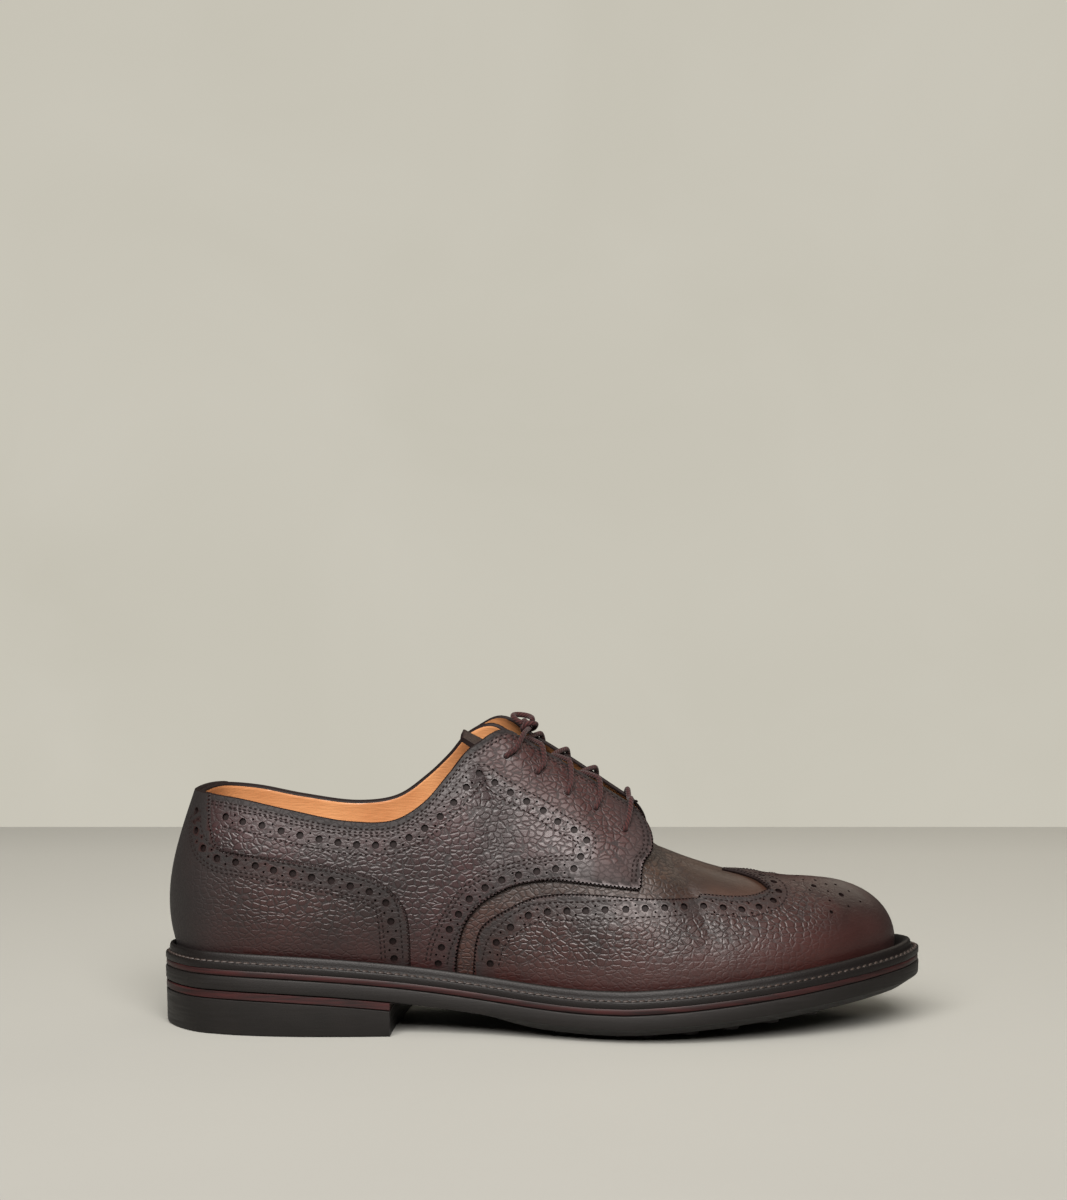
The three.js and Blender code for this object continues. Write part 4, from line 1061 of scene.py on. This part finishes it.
TOPLINE_HOLES = [
    (-123.1, 84.1), (-116.3, 82.5), (-108.9, 81.2), (-101.5, 79.2), (-94.2, 77.6), (-86.8, 76.1), (-79.5, 74.8),
    (-72.3, 74.0), (-65.0, 73.8), (-58.2, 74.2), (-52.1, 76.7), (-46.1, 80.3), (-40.1, 84.7), (-35.1, 89.9),
    (-30.3, 95.5), (-25.6, 100.7), (-19.2, 97.2), (-13.0, 93.4), (-6.7, 90.0), (-0.3, 86.4), (5.4, 82.2),
    (11.7, 79.0), (16.5, 75.1), (14.3, 69.1)]
QUARTER_HOLES = [
    (-40.9, 28.0), (-39.6, 34.4), (-36.5, 41.5), (-32.9, 47.4), (-28.7, 53.3), (-22.6, 57.6), (-16.6, 60.3),
    (-9.6, 62.2), (-2.5, 63.6), (4.7, 64.6), (11.7, 64.7)]
EYELETS = [(-14.8, 107.1), (-3.0, 100.6), (8.8, 92.5), (19.8, 86.5), (31.2, 78.3)]
cutters = []
quarter_rows = [chart_from_side(facing_sheet, TOPLINE_HOLES), chart_from_side(facing_sheet, QUARTER_HOLES)]
for row in quarter_rows:
    for places in (row, other_side(row)):
        cutters += brogue_row(facing_sheet, places, outer_face)
eyelet_places = chart_from_side(facing_sheet, EYELETS)
for places in (eyelet_places, other_side(eyelet_places)):
    points, normals = facing_sheet.at(places, outer_face)
    cutters += [(point, normal, EYELET_RADIUS, EYELET_SIDES) for point, normal in zip(points, normals)]
cutters += seam_teeth(facing_sheet, quarter_field, outer_face)
punch_holes(quarters, cutters)
smooth_edges(quarters, 40)
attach(quarters, "root")
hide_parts("quarter_lateral", "quarter_medial")

# Heel counter: a thicker pebble-grain overlay round the heel, with the back strip that hides the
# quarters' join, punched along its upper edge and darkened nearly black at the back by burnish and painted shade.
COUNTER = 1.9
COUNTER_HOLES = [
    (-134.7, 85.3), (-134.4, 78.1), (-131.4, 71.9), (-125.9, 68.4), (-118.6, 67.3), (-111.1, 66.1), (-104.1, 64.5),
    (-96.7, 63.3), (-89.5, 61.8), (-82.0, 60.6), (-74.7, 58.5), (-67.4, 56.4), (-61.1, 52.1), (-59.2, 44.9),
    (-58.5, 37.1), (-58.1, 30.3)]
counter_face = GAP + COUNTER
counter_field = side_field(base_sheet, counter_outline, counter_face)
counter_grain = np.clip(0.5 + 0.5 * band_grain(counter_field), 0, 1)
counter_grain *= 0.35 + 0.65 * step_up(base_x, -142.0, -112.0)
counter_grain *= 1 - 0.6 * step_up(base_z, 50.0, 32.0)
# The back of the heel is darkened nearly black: part burnish, part painted shade on the side turned away from the
# light.
counter_burnish_and_heel_shade = np.clip(edge_ink(np.maximum(counter_field, 0)) + 0.85 * step_up(base_x, -112.0, -142.0)
                          + 0.8 * np.exp(-base_depth / 2.4), 0, 0.92)
counter_glow = 0.5 * step_up(base_z, 50.0, 28.0) + 0.25 * step_up(np.abs(base_x + 118), 22.0, 4.0)
counter_calf = calf_leather("counter_pebble_calf", "170b0b", "251312", "260d0b", 2.25, 0.18, 0.40)
counter = panel("heel_counter_panel", base_sheet, counter_field, counter_face, 2 * INNER_FACE, counter_calf,
                {"grain": counter_grain, "burnish_and_shade": counter_burnish_and_heel_shade, "glow": np.clip(counter_glow, 0, 1)})
counter_row = chart_from_side(base_sheet, COUNTER_HOLES)
cutters = []
for places in (counter_row, other_side(counter_row)):
    cutters += brogue_row(base_sheet, places, counter_face)
cutters += seam_teeth(base_sheet, counter_field, counter_face)
punch_holes(counter, cutters)
smooth_edges(counter, 40)
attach(counter, "root")
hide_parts("heel_counter")

# Wing cap: the toe cap with wings that run back along both sides and a peak on the ridge. It is
# pebble-grain calf, burnished smooth over the toe, with a punched row round its edge and a simple
# rosette of holes on the toe.
WING_SEAM = [
    (0.411, 0.10), (0.411, 0.269), (0.415, 0.379), (0.422, 0.430), (0.438, 0.471), (0.458, 0.505), (0.487, 0.545),
    (0.526, 0.563), (0.578, 0.560), (0.630, 0.549), (0.692, 0.544), (0.720, 0.542)]
# along and across, seen from above: back edge, valley, peak, valley, back edge
CAP_RUNS = [
    [(0.700, -0.60), (0.700, -0.2565)],
    [(0.700, -0.2565), (0.735, -0.236), (0.770, -0.200), (0.795, -0.140)],
    [(0.795, -0.140), (0.778, -0.070), (0.737, 0.024)],
    [(0.737, 0.024), (0.778, 0.115), (0.795, 0.185)],
    [(0.795, 0.185), (0.770, 0.250), (0.735, 0.290), (0.700, 0.305)],
    [(0.700, 0.305), (0.700, 0.60)]]
WING_HOLES = [
    (-20.5, 28.2), (-18.1, 36.6), (-12.8, 42.5), (-5.7, 46.9), (1.7, 48.4), (9.2, 48.9), (16.3, 49.1), (23.6, 49.6),
    (31.4, 49.7), (38.7, 49.9), (46.1, 49.9), (53.5, 49.8)]
CAP_HOLES = [
    (0.703, -0.277), (0.728, -0.266), (0.752, -0.254), (0.775, -0.228), (0.795, -0.188), (0.804, -0.137),
    (0.800, -0.083), (0.786, -0.034), (0.767, 0.024), (0.786, 0.082), (0.800, 0.131), (0.805, 0.186),
    (0.795, 0.238), (0.775, 0.280), (0.752, 0.307), (0.728, 0.325), (0.703, 0.334)]
# rosette: rings of (count, radius of ring, turn in steps, radius of hole), then single holes
ROSETTE_RINGS = [(8, 5.0, 0, 0.65), (6, 9.6, 0, 1.2), (6, 9.2, 0.5, 0.55), (12, 13.4, 0, 0.55)]
ROSETTE = [(0, 0, 1.5)]
for count, ring, turn, hole in ROSETTE_RINGS:
    angles = [(k + turn) * 2 * math.pi / count for k in range(count)]
    ROSETTE += [(ring * math.cos(angle), ring * math.sin(angle), hole) for angle in angles]
ROSETTE += [(17.0, 0, 0.9), (-16.6, 0, 0.9), (0.0, 17.0, 0.8), (0.0, -17.0, 0.8)]
ROSETTE_SCALE = 1.12
wing_outline = in_shoe(rounded_line(WING_SEAM) + [(0.720, 0.05), (0.411, 0.05)])
wing_side = side_field(base_sheet, wing_outline, outer_face)
cap_line = []
for run in CAP_RUNS:
    cap_line += [(x_at(a), y_at(b)) for a, b in (run if len(run) == 2 else rounded_line(run))]
cap_outline = cap_line + [(x_at(1.2), y_at(0.60)), (x_at(1.2), y_at(-0.60))]
wing_top = inside_distance(cap_outline, (base_sheet.points + base_sheet.normals * outer_face)[..., :2])
wing_field = np.maximum(wing_side, wing_top)
wing_band = cut_distance(base_sheet, wing_field, outer_face)
wing_grain = np.clip(0.5 + 0.5 * band_grain(wing_band), 0, 1) * (1 - 0.93 * step_up(base_x, 98.0, 122.0))
wing_grain *= 1 - 0.7 * step_up(base_z - 0.12 * np.maximum(base_x - 20, 0), 36.0, 22.0)
wing_grain *= 1 - 0.8 * step_up(base_z + 0.05 * base_x, 56.0, 62.0) * step_up(base_x, 60.0, 80.0)
wing_burnish = np.clip(edge_ink(wing_band) + 0.35 * step_up(base_x, 116.0, 138.0), 0, 0.9)
wing_glow = np.clip(0.6 * step_up(base_z - 0.1 * np.maximum(base_x, 0), 36.0, 24.0)
                    + 0.2 * step_up(np.abs(base_x - 96), 22.0, 6.0), 0, 1)
wing_calf = calf_leather("wing_burnished_pebble_calf", "180c0b", "271412", "2a0f0c", 2.2, 0.19, 0.37)
wing = panel("wing_cap_panel", base_sheet, wing_field, outer_face, INNER_FACE, wing_calf,
             {"grain": wing_grain, "burnish_and_shade": wing_burnish, "glow": wing_glow})
wing_row = chart_from_side(base_sheet, WING_HOLES)
cutters = []
for places in (wing_row, other_side(wing_row)):
    cutters += brogue_row(base_sheet, places, outer_face)


def chart_from_above(rows):
    """Places of plan-view points, each found on its own side of the ridge."""
    places = []
    for x, y in rows:
        ridge_y = y_at(smooth_value([row[1] for row in RIDGE], 4.0))
        columns = range(COLUMNS // 4, COLUMNS // 2) if y < ridge_y else range(COLUMNS // 2, COLUMNS * 3 // 4)
        places += base_sheet.find([(x, y, 200.0)], (0, 0, -1), columns)
    return places


def punches_from_above(rows, radius_of, sides):
    points, normals = base_sheet.at(chart_from_above(rows), outer_face)
    return [(p, n, radius_of(k), sides) for k, (p, n) in enumerate(zip(points, normals))]


cap_rows = [(x_at(a), y_at(b)) for a, b in CAP_HOLES]
cutters += punches_from_above(cap_rows, lambda k: BIG_HOLE, BIG_SIDES)
pins = []
for (x0, y0), (x1, y1) in zip(cap_rows, cap_rows[1:]):
    span = math.hypot(x1 - x0, y1 - y0)
    for side in (-1, 1):
        aside = side * 1.5 / span
        pins.append(((x0 + x1) / 2 - aside * (y1 - y0), (y0 + y1) / 2 + aside * (x1 - x0)))
cutters += punches_from_above(pins, lambda k: PIN_HOLE, PIN_SIDES)
rosette_x, rosette_y = 112.5, y_at(0.040)
rosette = [(rosette_x + ROSETTE_SCALE * a, rosette_y + ROSETTE_SCALE * b) for a, b, _ in ROSETTE]
cutters += punches_from_above(rosette, lambda k: ROSETTE[k][2], 10)
cutters += seam_teeth(base_sheet, wing_field, outer_face)
punch_holes(wing, cutters)
smooth_edges(wing, 40)
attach(wing, "root")
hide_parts("wing_cap")

# Seams: lockstitches of waxed linen thread, 1.6 mm long and 2.1 mm apart, in rows beside each
# punched row, along the topline and down the front of both facings.
thread = fibrous("thread_waxed_linen", 1800.0, 2.0, ("080505", "1a0f0e"), 0.75, 0.5, 0.0001,
                 {"Specular IOR Level": 0.12})
# share of a stitch's length, share of its thickness
BEAD_SIDES = 5
BEAD_RINGS = [(-0.5, 0.35), (-0.28, 1.0), (0.28, 1.0), (0.5, 0.35)]


def add_stitches(points, faces, line, normals, length, pitch, radius, sink, slant=0.0):
    """Plump stitches along a line, each dipping into the leather at its ends."""
    line, normals = np.asarray(line), np.asarray(normals)
    run = run_along(line)
    for mark in np.arange(pitch / 2, run[-1], pitch):
        k = min(max(int(np.searchsorted(run, mark)), 1), len(run) - 1)
        part = (mark - run[k - 1]) / max(run[k] - run[k - 1], 1e-9)
        middle = Vector(line[k - 1] * (1 - part) + line[k] * part)
        normal = Vector(normals[k]).normalized()
        ahead = Vector(line[k] - line[k - 1]).normalized()
        side = normal.cross(ahead).normalized()
        ahead = (ahead * math.cos(slant) + side * math.sin(slant)).normalized()
        side = normal.cross(ahead).normalized()
        start = len(points)
        for share, size in BEAD_RINGS:
            dip = -sink - 0.9 * radius * (1 if abs(share) > 0.4 else 0)
            for turn in range(BEAD_SIDES):
                angle = 2 * math.pi * turn / BEAD_SIDES
                lift = dip + radius * size * math.sin(angle)
                points.append(middle + ahead * share * length + normal * lift
                              + side * radius * size * math.cos(angle))
        faces += tube_faces(start, len(BEAD_RINGS), BEAD_SIDES)


def row_beside(sheet, places, distance, offset):
    """A dense line on the surface beside a row of places."""
    points, normals = sheet.at(places, distance)
    curve = smooth_curve([tuple(p) for p in points])
    across = smooth_curve([tuple(n) for n in normals])
    steps = len(places) * 6
    line = []
    for share in (k / steps for k in range(steps + 1)):
        ahead = curve(min(share + 0.004, 1)) - curve(max(share - 0.004, 0))
        line.append(curve(share) + across(share).normalized().cross(ahead).normalized() * offset)
    return line


skins = {}


def snapped(sheet, key, line, distance):
    """A line laid back on to the sheet's outer face."""
    if key not in skins:
        outer = sheet.points + sheet.normals * distance
        faces = [[(i % COLUMNS) * (RUNGS + 1) + j for i, j in cell_corners(column, rung)]
                 for column in range(COLUMNS) for rung in range(RUNGS)]
        skins[key] = BVHTree.FromPolygons([tuple(p) for p in outer.reshape(-1, 3)], faces)
    found = [skins[key].find_nearest(Vector(p)) for p in line]
    return [tuple(f[0]) for f in found], [tuple(f[1]) for f in found]


seam_points, seam_faces = [], []
ROW_STITCH = dict(length=1.6, pitch=2.1, radius=0.34, sink=0.05)


def sew_beside(sheet, key, distance, places, offset):
    line, ups = snapped(sheet, key, row_beside(sheet, places, distance, offset), distance)
    add_stitches(seam_points, seam_faces, line, ups, **ROW_STITCH)


def sew_facing(places):
    line, ups = facing_sheet.at(places, outer_face)
    add_stitches(seam_points, seam_faces, line, ups, **ROW_STITCH)


cap_places = chart_from_above(cap_rows)
rows = [(facing_sheet, "facing", outer_face, quarter_rows[0], (-3.6, 3.6)),
        (facing_sheet, "facing", outer_face, quarter_rows[1], (-3.4, 3.4, 5.0)),
        (base_sheet, "counter", counter_face, counter_row, (-3.4, 3.4, -4.9)),
        (base_sheet, "wing", outer_face, wing_row, (-3.4, 3.4))]
for sheet, key, distance, places, offsets in rows:
    for one, turn in ((places, 1), (other_side(places), -1)):
        for offset in offsets:
            sew_beside(sheet, key, distance, one, offset * turn)
for offset in (-3.4, 3.4):
    sew_beside(base_sheet, "wing", outer_face, cap_places, offset)


def row_under_edge(depths, depth, first, last):
    """Grid places at one depth under the top edge, from one place in rows to another."""
    places = []
    for column in np.arange(first * COLUMNS_PER_ROW, last * COLUMNS_PER_ROW + 0.5, 1.0):
        below = depths[int(column) % COLUMNS]
        rung = next(k for k in range(RUNGS, -1, -1) if below[k] >= depth)
        part = (below[rung] - depth) / max(below[rung] - below[rung + 1], 1e-9)
        places.append((column, rung + part))
    return places


for depth, first, last in ((2.3, 0.9, 9.0), (3.6, 0.9, 9.0), (2.6, 9.1, 12.75), (4.2, 9.1, 12.7)):
    places = row_under_edge(facing_depth, depth, first, last)
    sew_facing(places)
    sew_facing(other_side(places))
front_edge = in_shoe(rounded_line(FACING_FRONT[:7]))
for inset in (2.3, 3.9):
    places = chart_from_side(facing_sheet, [(x - inset, z) for x, z in front_edge[2:]])
    sew_facing(places)
    sew_facing(other_side(places))
seams = mesh_piece("seam_stitches", seam_points, seam_faces, [thread])
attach(seams, "root")

# Welt: a storm welt of black-dyed leather, sewn all the way round. Its bead stands up against the
# upper, and slanting stitches of thick brown thread lie on the flat lip outside the bead.
WELT, BEAD = 2.6, 3.5
welt_leather, tree = new_material("welt_black_dyed_leather")
size = millimetres(tree)
surface(tree, blend(tree, noise(tree, size, 0.12, 4.0), "060404", "0e0a09"), 0.5,
        noise(tree, size, 1.6, 4.0), 0.4, 0.00025, {"Specular IOR Level": 0.22})
# share of the reach (or an inset in mm where fixed is given), rise
WELT_SECTION = [
    (None, 0.15, -WELT), (None, 0.0, -WELT + 0.3), (None, 0.0, -0.45), (None, 0.12, -0.12), (None, 0.45, 0.0),
    (0.36, None, 0.0), (0.385, None, 0.25), (0.40, None, 1.4), (0.43, None, 2.6), (0.49, None, 3.25),
    (0.57, None, BEAD), (0.67, None, BEAD - 0.05), (0.76, None, 3.1), (0.84, None, 2.3), (0.92, None, 1.1),
    (1.0, None, 0.0)]
inner_foot = FOOT_CLEARANCE + 9.0
points, faces = [], []
for column in range(COLUMNS):
    reach = reach_at(column)
    for share, fixed, rise in WELT_SECTION:
        point = edge_point(column, fixed if share is None else share * reach)
        point.z = welt_top(along_at(point.x)) + rise
        points.append(point)
    for rise in (0.0, -WELT):
        point = edge_point(column, reach + inner_foot)
        point.z = welt_top(along_at(point.x)) + rise
        points.append(point)
rows = len(WELT_SECTION) + 2
for column in range(COLUMNS):
    after = (column + 1) % COLUMNS
    for row in range(rows):
        below = (row + 1) % rows
        faces.append((column * rows + row, after * rows + row, after * rows + below, column * rows + below))
welt = mesh_piece("storm_welt", points, faces, [welt_leather])
smooth_edges(welt, 50)
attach(welt, "root")
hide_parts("welt")

# Welt thread: thick braided linen, waxed brown, its stitches drawn up plump and slanting.
welt_thread = fibrous("thread_brown_waxed_linen", 1500.0, 2.0, ("140d0a", "2b1e17"), 0.6, 0.7, 0.0002)
WELT_STITCH = dict(length=3.3, pitch=3.1, radius=0.62, sink=0.12, slant=0.42)
WELT_SEAM_INSET = 1.35
line, ups = [], []
for column in range(COLUMNS + 1):
    point = edge_point(column, WELT_SEAM_INSET)
    point.z = welt_top(along_at(point.x)) + 0.05
    line.append(point)
    ups.append((0, 0, 1))
points, faces = [], []
add_stitches(points, faces, line, ups, **WELT_STITCH)
welt_seam = mesh_piece("welt_stitches", points, faces, [welt_thread])
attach(welt_seam, "root")

# Midsole: a leather layer under the welt, its edge waxed dark red.
MIDSOLE, EDGE, CROWN = 2.1, 5.7, 3.0


def midsole_top(along):
    return welt_top(along) - WELT - GAP


def outsole_top(along):
    return midsole_top(along) - MIDSOLE - GAP


def rim_bottom(along):
    return outsole_top(along) - EDGE


def tread_level(along):
    return rim_bottom(along) - CROWN * smooth_step(along, 0.38, 0.5)


red_edge, tree = new_material("edge_red_waxed_leather")
fibres = noise(tree, move(tree, "MULTIPLY", metres(tree), (60.0, 60.0, 900.0)), 1.0, 4.0)
surface(tree, blend(tree, ramp(tree, fibres, 0.35, 0.7), "140909", "2c1010"), 0.5, fibres, 0.3, 0.0002,
        {"Specular IOR Level": 0.22})
midsole = sole_layer("leather_midsole", [
    (0.45, midsole_top, 0.1), (0.3, midsole_top, -0.15), (0.3, midsole_top, 0.15 - MIDSOLE),
    (0.45, midsole_top, -MIDSOLE)], [red_edge])
smooth_edges(midsole, 50)
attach(midsole, "root")
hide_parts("midsole")

# Outsole: moulded black rubber with an upright edge and a tread that is crowned under the ball.
sole_rubber, tree = new_material("sole_black_moulded_rubber")
size = millimetres(tree)
scuff = noise(tree, move(tree, "MULTIPLY", size, (0.06, 0.06, 1.6)), 1.0, 5.0)
relief = reckon(tree, "MULTIPLY_ADD", scuff, 0.5, noise(tree, size, 2.6, 3.0))
dulled = ramp(tree, scuff, 0.3, 0.7, 0.46, 0.64)
surface(tree, blend(tree, noise(tree, size, 0.08, 5.0), "0a0908", "13100f"), dulled, relief, 0.3, 0.0002,
        {"Specular IOR Level": 0.22})
outsole = sole_layer("rubber_outsole", [
    (0.55, outsole_top, 0.0), (0.15, outsole_top, -0.2), (0.0, outsole_top, -0.6), (0.12, rim_bottom, 1.2),
    (0.35, rim_bottom, 0.35), (0.9, rim_bottom, 0.0), (6.0, tread_level, 0.0), (9.0, tread_level, 0.0)],
    [sole_rubber])
smooth_edges(outsole, 40)
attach(outsole, "root")
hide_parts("outsole")

# Studs: low round rubber studs under the forefoot, each with a dished foot.
STUD_HEIGHT, STUD_RADIUS, STUD_SUNK, STUD_TAPER = 2.5, 4.5, 1.0, 0.93
STUD_PLACES = [
    (8.2, -28.0), (8.2, -1.8), (8.2, 24.5), (24.0, -32.4), (24.0, -12.0), (24.0, 8.5), (24.0, 28.9), (39.8, -35.0),
    (39.8, -12.4), (39.8, 10.1), (39.8, 32.7), (55.6, -35.0), (55.6, -11.6), (55.6, 11.7), (55.6, 35.1),
    (71.4, -32.5), (71.4, -10.0), (71.4, 12.5), (71.4, 35.0), (87.2, -28.1), (87.2, -8.0), (87.2, 12.2),
    (87.2, 32.3), (103.0, -21.3), (103.0, 2.8), (103.0, 27.0)]
bpy.ops.object.select_all(action="DESELECT")
stud_depth = STUD_HEIGHT + STUD_SUNK
bpy.ops.mesh.primitive_cylinder_add(vertices=32, radius=STUD_RADIUS * MM, depth=stud_depth * MM)
stud = bpy.context.object
stud.name = "rubber_studs"
for vertex in stud.data.vertices:
    if vertex.co.z < 0:
        vertex.co.x *= STUD_TAPER
        vertex.co.y *= STUD_TAPER
bpy.ops.object.mode_set(mode="EDIT")
bpy.ops.mesh.select_mode(type="FACE")
bpy.ops.mesh.select_all(action="DESELECT")
bpy.ops.object.mode_set(mode="OBJECT")
for face in stud.data.polygons:
    face.select = face.normal.z < -0.9
bpy.ops.object.mode_set(mode="EDIT")
bpy.ops.mesh.inset(thickness=1.6 * MM)
bpy.ops.mesh.inset(thickness=0.5 * MM, depth=-0.5 * MM)
bpy.ops.object.mode_set(mode="OBJECT")
modifier = stud.modifiers.new("softened", "BEVEL")
modifier.width = 0.25 * MM
modifier.segments = 2
modifier.limit_method = "ANGLE"
modifier.angle_limit = math.radians(50)
bpy.ops.object.modifier_apply(modifier="softened")
stud.data.materials.append(sole_rubber)
studs = [stud] + [bpy.data.objects.new("stud_copy", stud.data.copy()) for _ in STUD_PLACES[1:]]
for copy, (x, y) in zip(studs, STUD_PLACES):
    if copy is not stud:
        bpy.context.collection.objects.link(copy)
    level = tread_level(along_at(x)) - STUD_HEIGHT + stud_depth / 2
    for vertex in copy.data.vertices:
        vertex.co += Vector((x, y, level)) * MM
select_only(*studs)
bpy.ops.object.join()
smooth_edges(stud, 40)
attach(stud, "root")

# Heel: a waxed leather lift and a moulded rubber block under it, both cut off in front by a
# slanting, slightly hollow breast.
LIFT = 2.9


def lift_top(along):
    return rim_bottom(along) - GAP


def block_top(along):
    return lift_top(along) - LIFT - GAP


def ground(along):
    return 0.0


BREAST_ALONG, BREAST_SLANT, BREAST_HOLLOW, CUTTER_REACH = 0.316, 0.08, 2.0, 90.0


def cut_breast(piece):
    """Keeps what lies behind the heel's breast."""
    front = []
    for k in range(13):
        across = k / 12 - 0.5
        y = across * BALL
        x = x_at(BREAST_ALONG) + y * BREAST_SLANT - BREAST_HOLLOW * (1 - 4 * across ** 2)
        front.append((x, y + MIDDLE_SHIFT))
    outline = [(front[0][0], -CUTTER_REACH)] + front + [
        (front[-1][0], CUTTER_REACH), (170.0, CUTTER_REACH), (170.0, -CUTTER_REACH)]
    points = [(x, y, z) for z in (-5.0, 60.0) for x, y in outline]
    count = len(outline)
    faces = [tuple(range(count)), tuple(reversed(range(count, 2 * count)))]
    faces += [(k, k + count, (k + 1) % count + count, (k + 1) % count) for k in range(count)]
    cutter = mesh_piece(piece.name + "_breast", points, faces, [])
    face_outwards(cutter)
    cut_away(piece, cutter)
    smooth_edges(piece, 35)


lift = sole_layer("heel_leather_lift", [
    (0.7, lift_top, 0.0), (0.35, lift_top, -0.3), (0.35, lift_top, 0.3 - LIFT), (0.7, lift_top, -LIFT)],
    [red_edge])
cut_breast(lift)
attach(lift, "root")
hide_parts("heel_lift")
block = sole_layer("heel_rubber_block", [
    (0.75, lambda along: max(block_top(along), 1.2), 0.0),
    (0.4, lambda along: max(block_top(along) - 0.3, 1.1), 0.0),
    (0.75, ground, 1.0), (1.1, ground, 0.3), (1.8, ground, 0.0)], [sole_rubber])
cut_breast(block)
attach(block, "root")
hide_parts("heel_block")

# Laces: one round waxed-cotton lace through five blind eyelets a side. It starts as a bar at the
# bottom, crosses over the tongue and ends in a small knot at the top. Each strand runs from its
# eyelet over the facing's edge and down into the throat.
LACE_STRANDS = {
    "lace_cross_1": [
        [(1.9, -18.2, 106.3), (-0.7, -14.2, 111.2), (-2.2, -11.1, 112.1), (-7.1, -1.3, 113.1), (-10.1, 4.9, 111.7)],
        [(2.1, 15.3, 109.3), (-0.9, 10.7, 114.1), (-2.4, 7.6, 114.2), (-6.9, -2.1, 112.7), (-9.7, -8.3, 109.7)]],
    "lace_cross_2": [
        [(12.2, -18.5, 99.8), (10.3, -13.7, 104.8), (8.8, -11.0, 105.6), (3.9, -2.3, 106.2), (0.8, 3.2, 104.5)],
        [(11.6, 15.1, 102.7), (9.6, 10.2, 107.8), (8.2, 7.5, 107.9), (3.7, -1.1, 106.3), (0.9, -6.5, 103.3)]],
    "lace_cross_3": [
        [(23.6, -18.5, 93.4), (21.9, -13.2, 97.9), (20.2, -10.6, 98.8), (14.9, -2.1, 99.5), (11.6, 3.2, 98.0)],
        [(23.0, 15.1, 95.8), (21.2, 9.7, 100.4), (19.7, 7.1, 100.6), (15.0, -1.3, 99.3), (12.0, -6.6, 96.5)]],
    "lace_bar": [
        [(34.7, -19.2, 86.4), (34.6, -13.4, 89.8), (34.4, -1.7, 88.6), (34.1, 10.0, 91.8), (34.2, 15.9, 88.4)]],
    "lace_knot": [
        [(-8.6, -20.7, 111.7), (-8.0, -15.4, 115.5), (-6.6, -8.0, 116.8), (-5.6, -1.6, 117.2)],
        [(-9.7, 17.5, 115.1), (-7.9, 11.2, 119.4), (-6.6, 5.0, 118.4), (-5.6, -1.6, 117.2)],
        [(-8.3, -3.6, 117.3), (-6.6, -4.5, 119.0), (-3.9, -3.3, 119.2), (-3.0, -0.6, 118.6), (-4.0, 1.6, 117.0),
         (-6.9, 1.8, 116.2), (-8.4, -0.6, 116.8), (-6.5, -2.2, 119.3), (-4.0, -1.2, 118.9)]]}


# How deep a lace goes in, how high it bends over, and where it rests on the facing on its way.
EYELET_DEPTH, EYELET_BEND, REST_SHARES = 1.1, 0.5, (0.28, 0.62)


def into_eyelet(strand, number):
    """The strand led down the facing from where it starts and in through its eyelet."""
    start = Vector(strand[0])
    near = start.y < MIDDLE_SHIFT
    place = eyelet_places[number] if near else other_side(eyelet_places)[number]
    (eyelet,), (normal,) = facing_sheet.at([place], outer_face)
    eyelet, normal = Vector(eyelet), Vector(normal)
    outward = Vector((0, -1 if near else 1, 0.7)).normalized()
    between = []
    for share in REST_SHARES:
        line, ups = snapped(facing_sheet, "facing", [eyelet.lerp(start + outward * 0.6, share)], outer_face)
        between.append(tuple(Vector(line[0]) + normal * (LACE / 2 - 0.1)))
    ends = [tuple(eyelet - normal * EYELET_DEPTH), tuple(eyelet + normal * EYELET_BEND)]
    return ends + between + strand[1:]


for node, strands in LACE_STRANDS.items():
    made = []
    for k, strand in enumerate(strands):
        if node == "lace_bar":
            strand = into_eyelet(into_eyelet(strand, 4)[::-1], 4)
        elif node != "lace_knot" or k < 2:
            strand = into_eyelet(strand, int(node[-1]) if node[-1].isdigit() else 0)
        made.append(round_cord(f"{node}_run_{k + 1}", strand, LACE / 2 - 0.05, lace_cotton))
    select_only(*made)
    if len(made) > 1:
        bpy.ops.object.join()
    made[0].name = node + "_run"
    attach(made[0], "root")
    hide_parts(node)
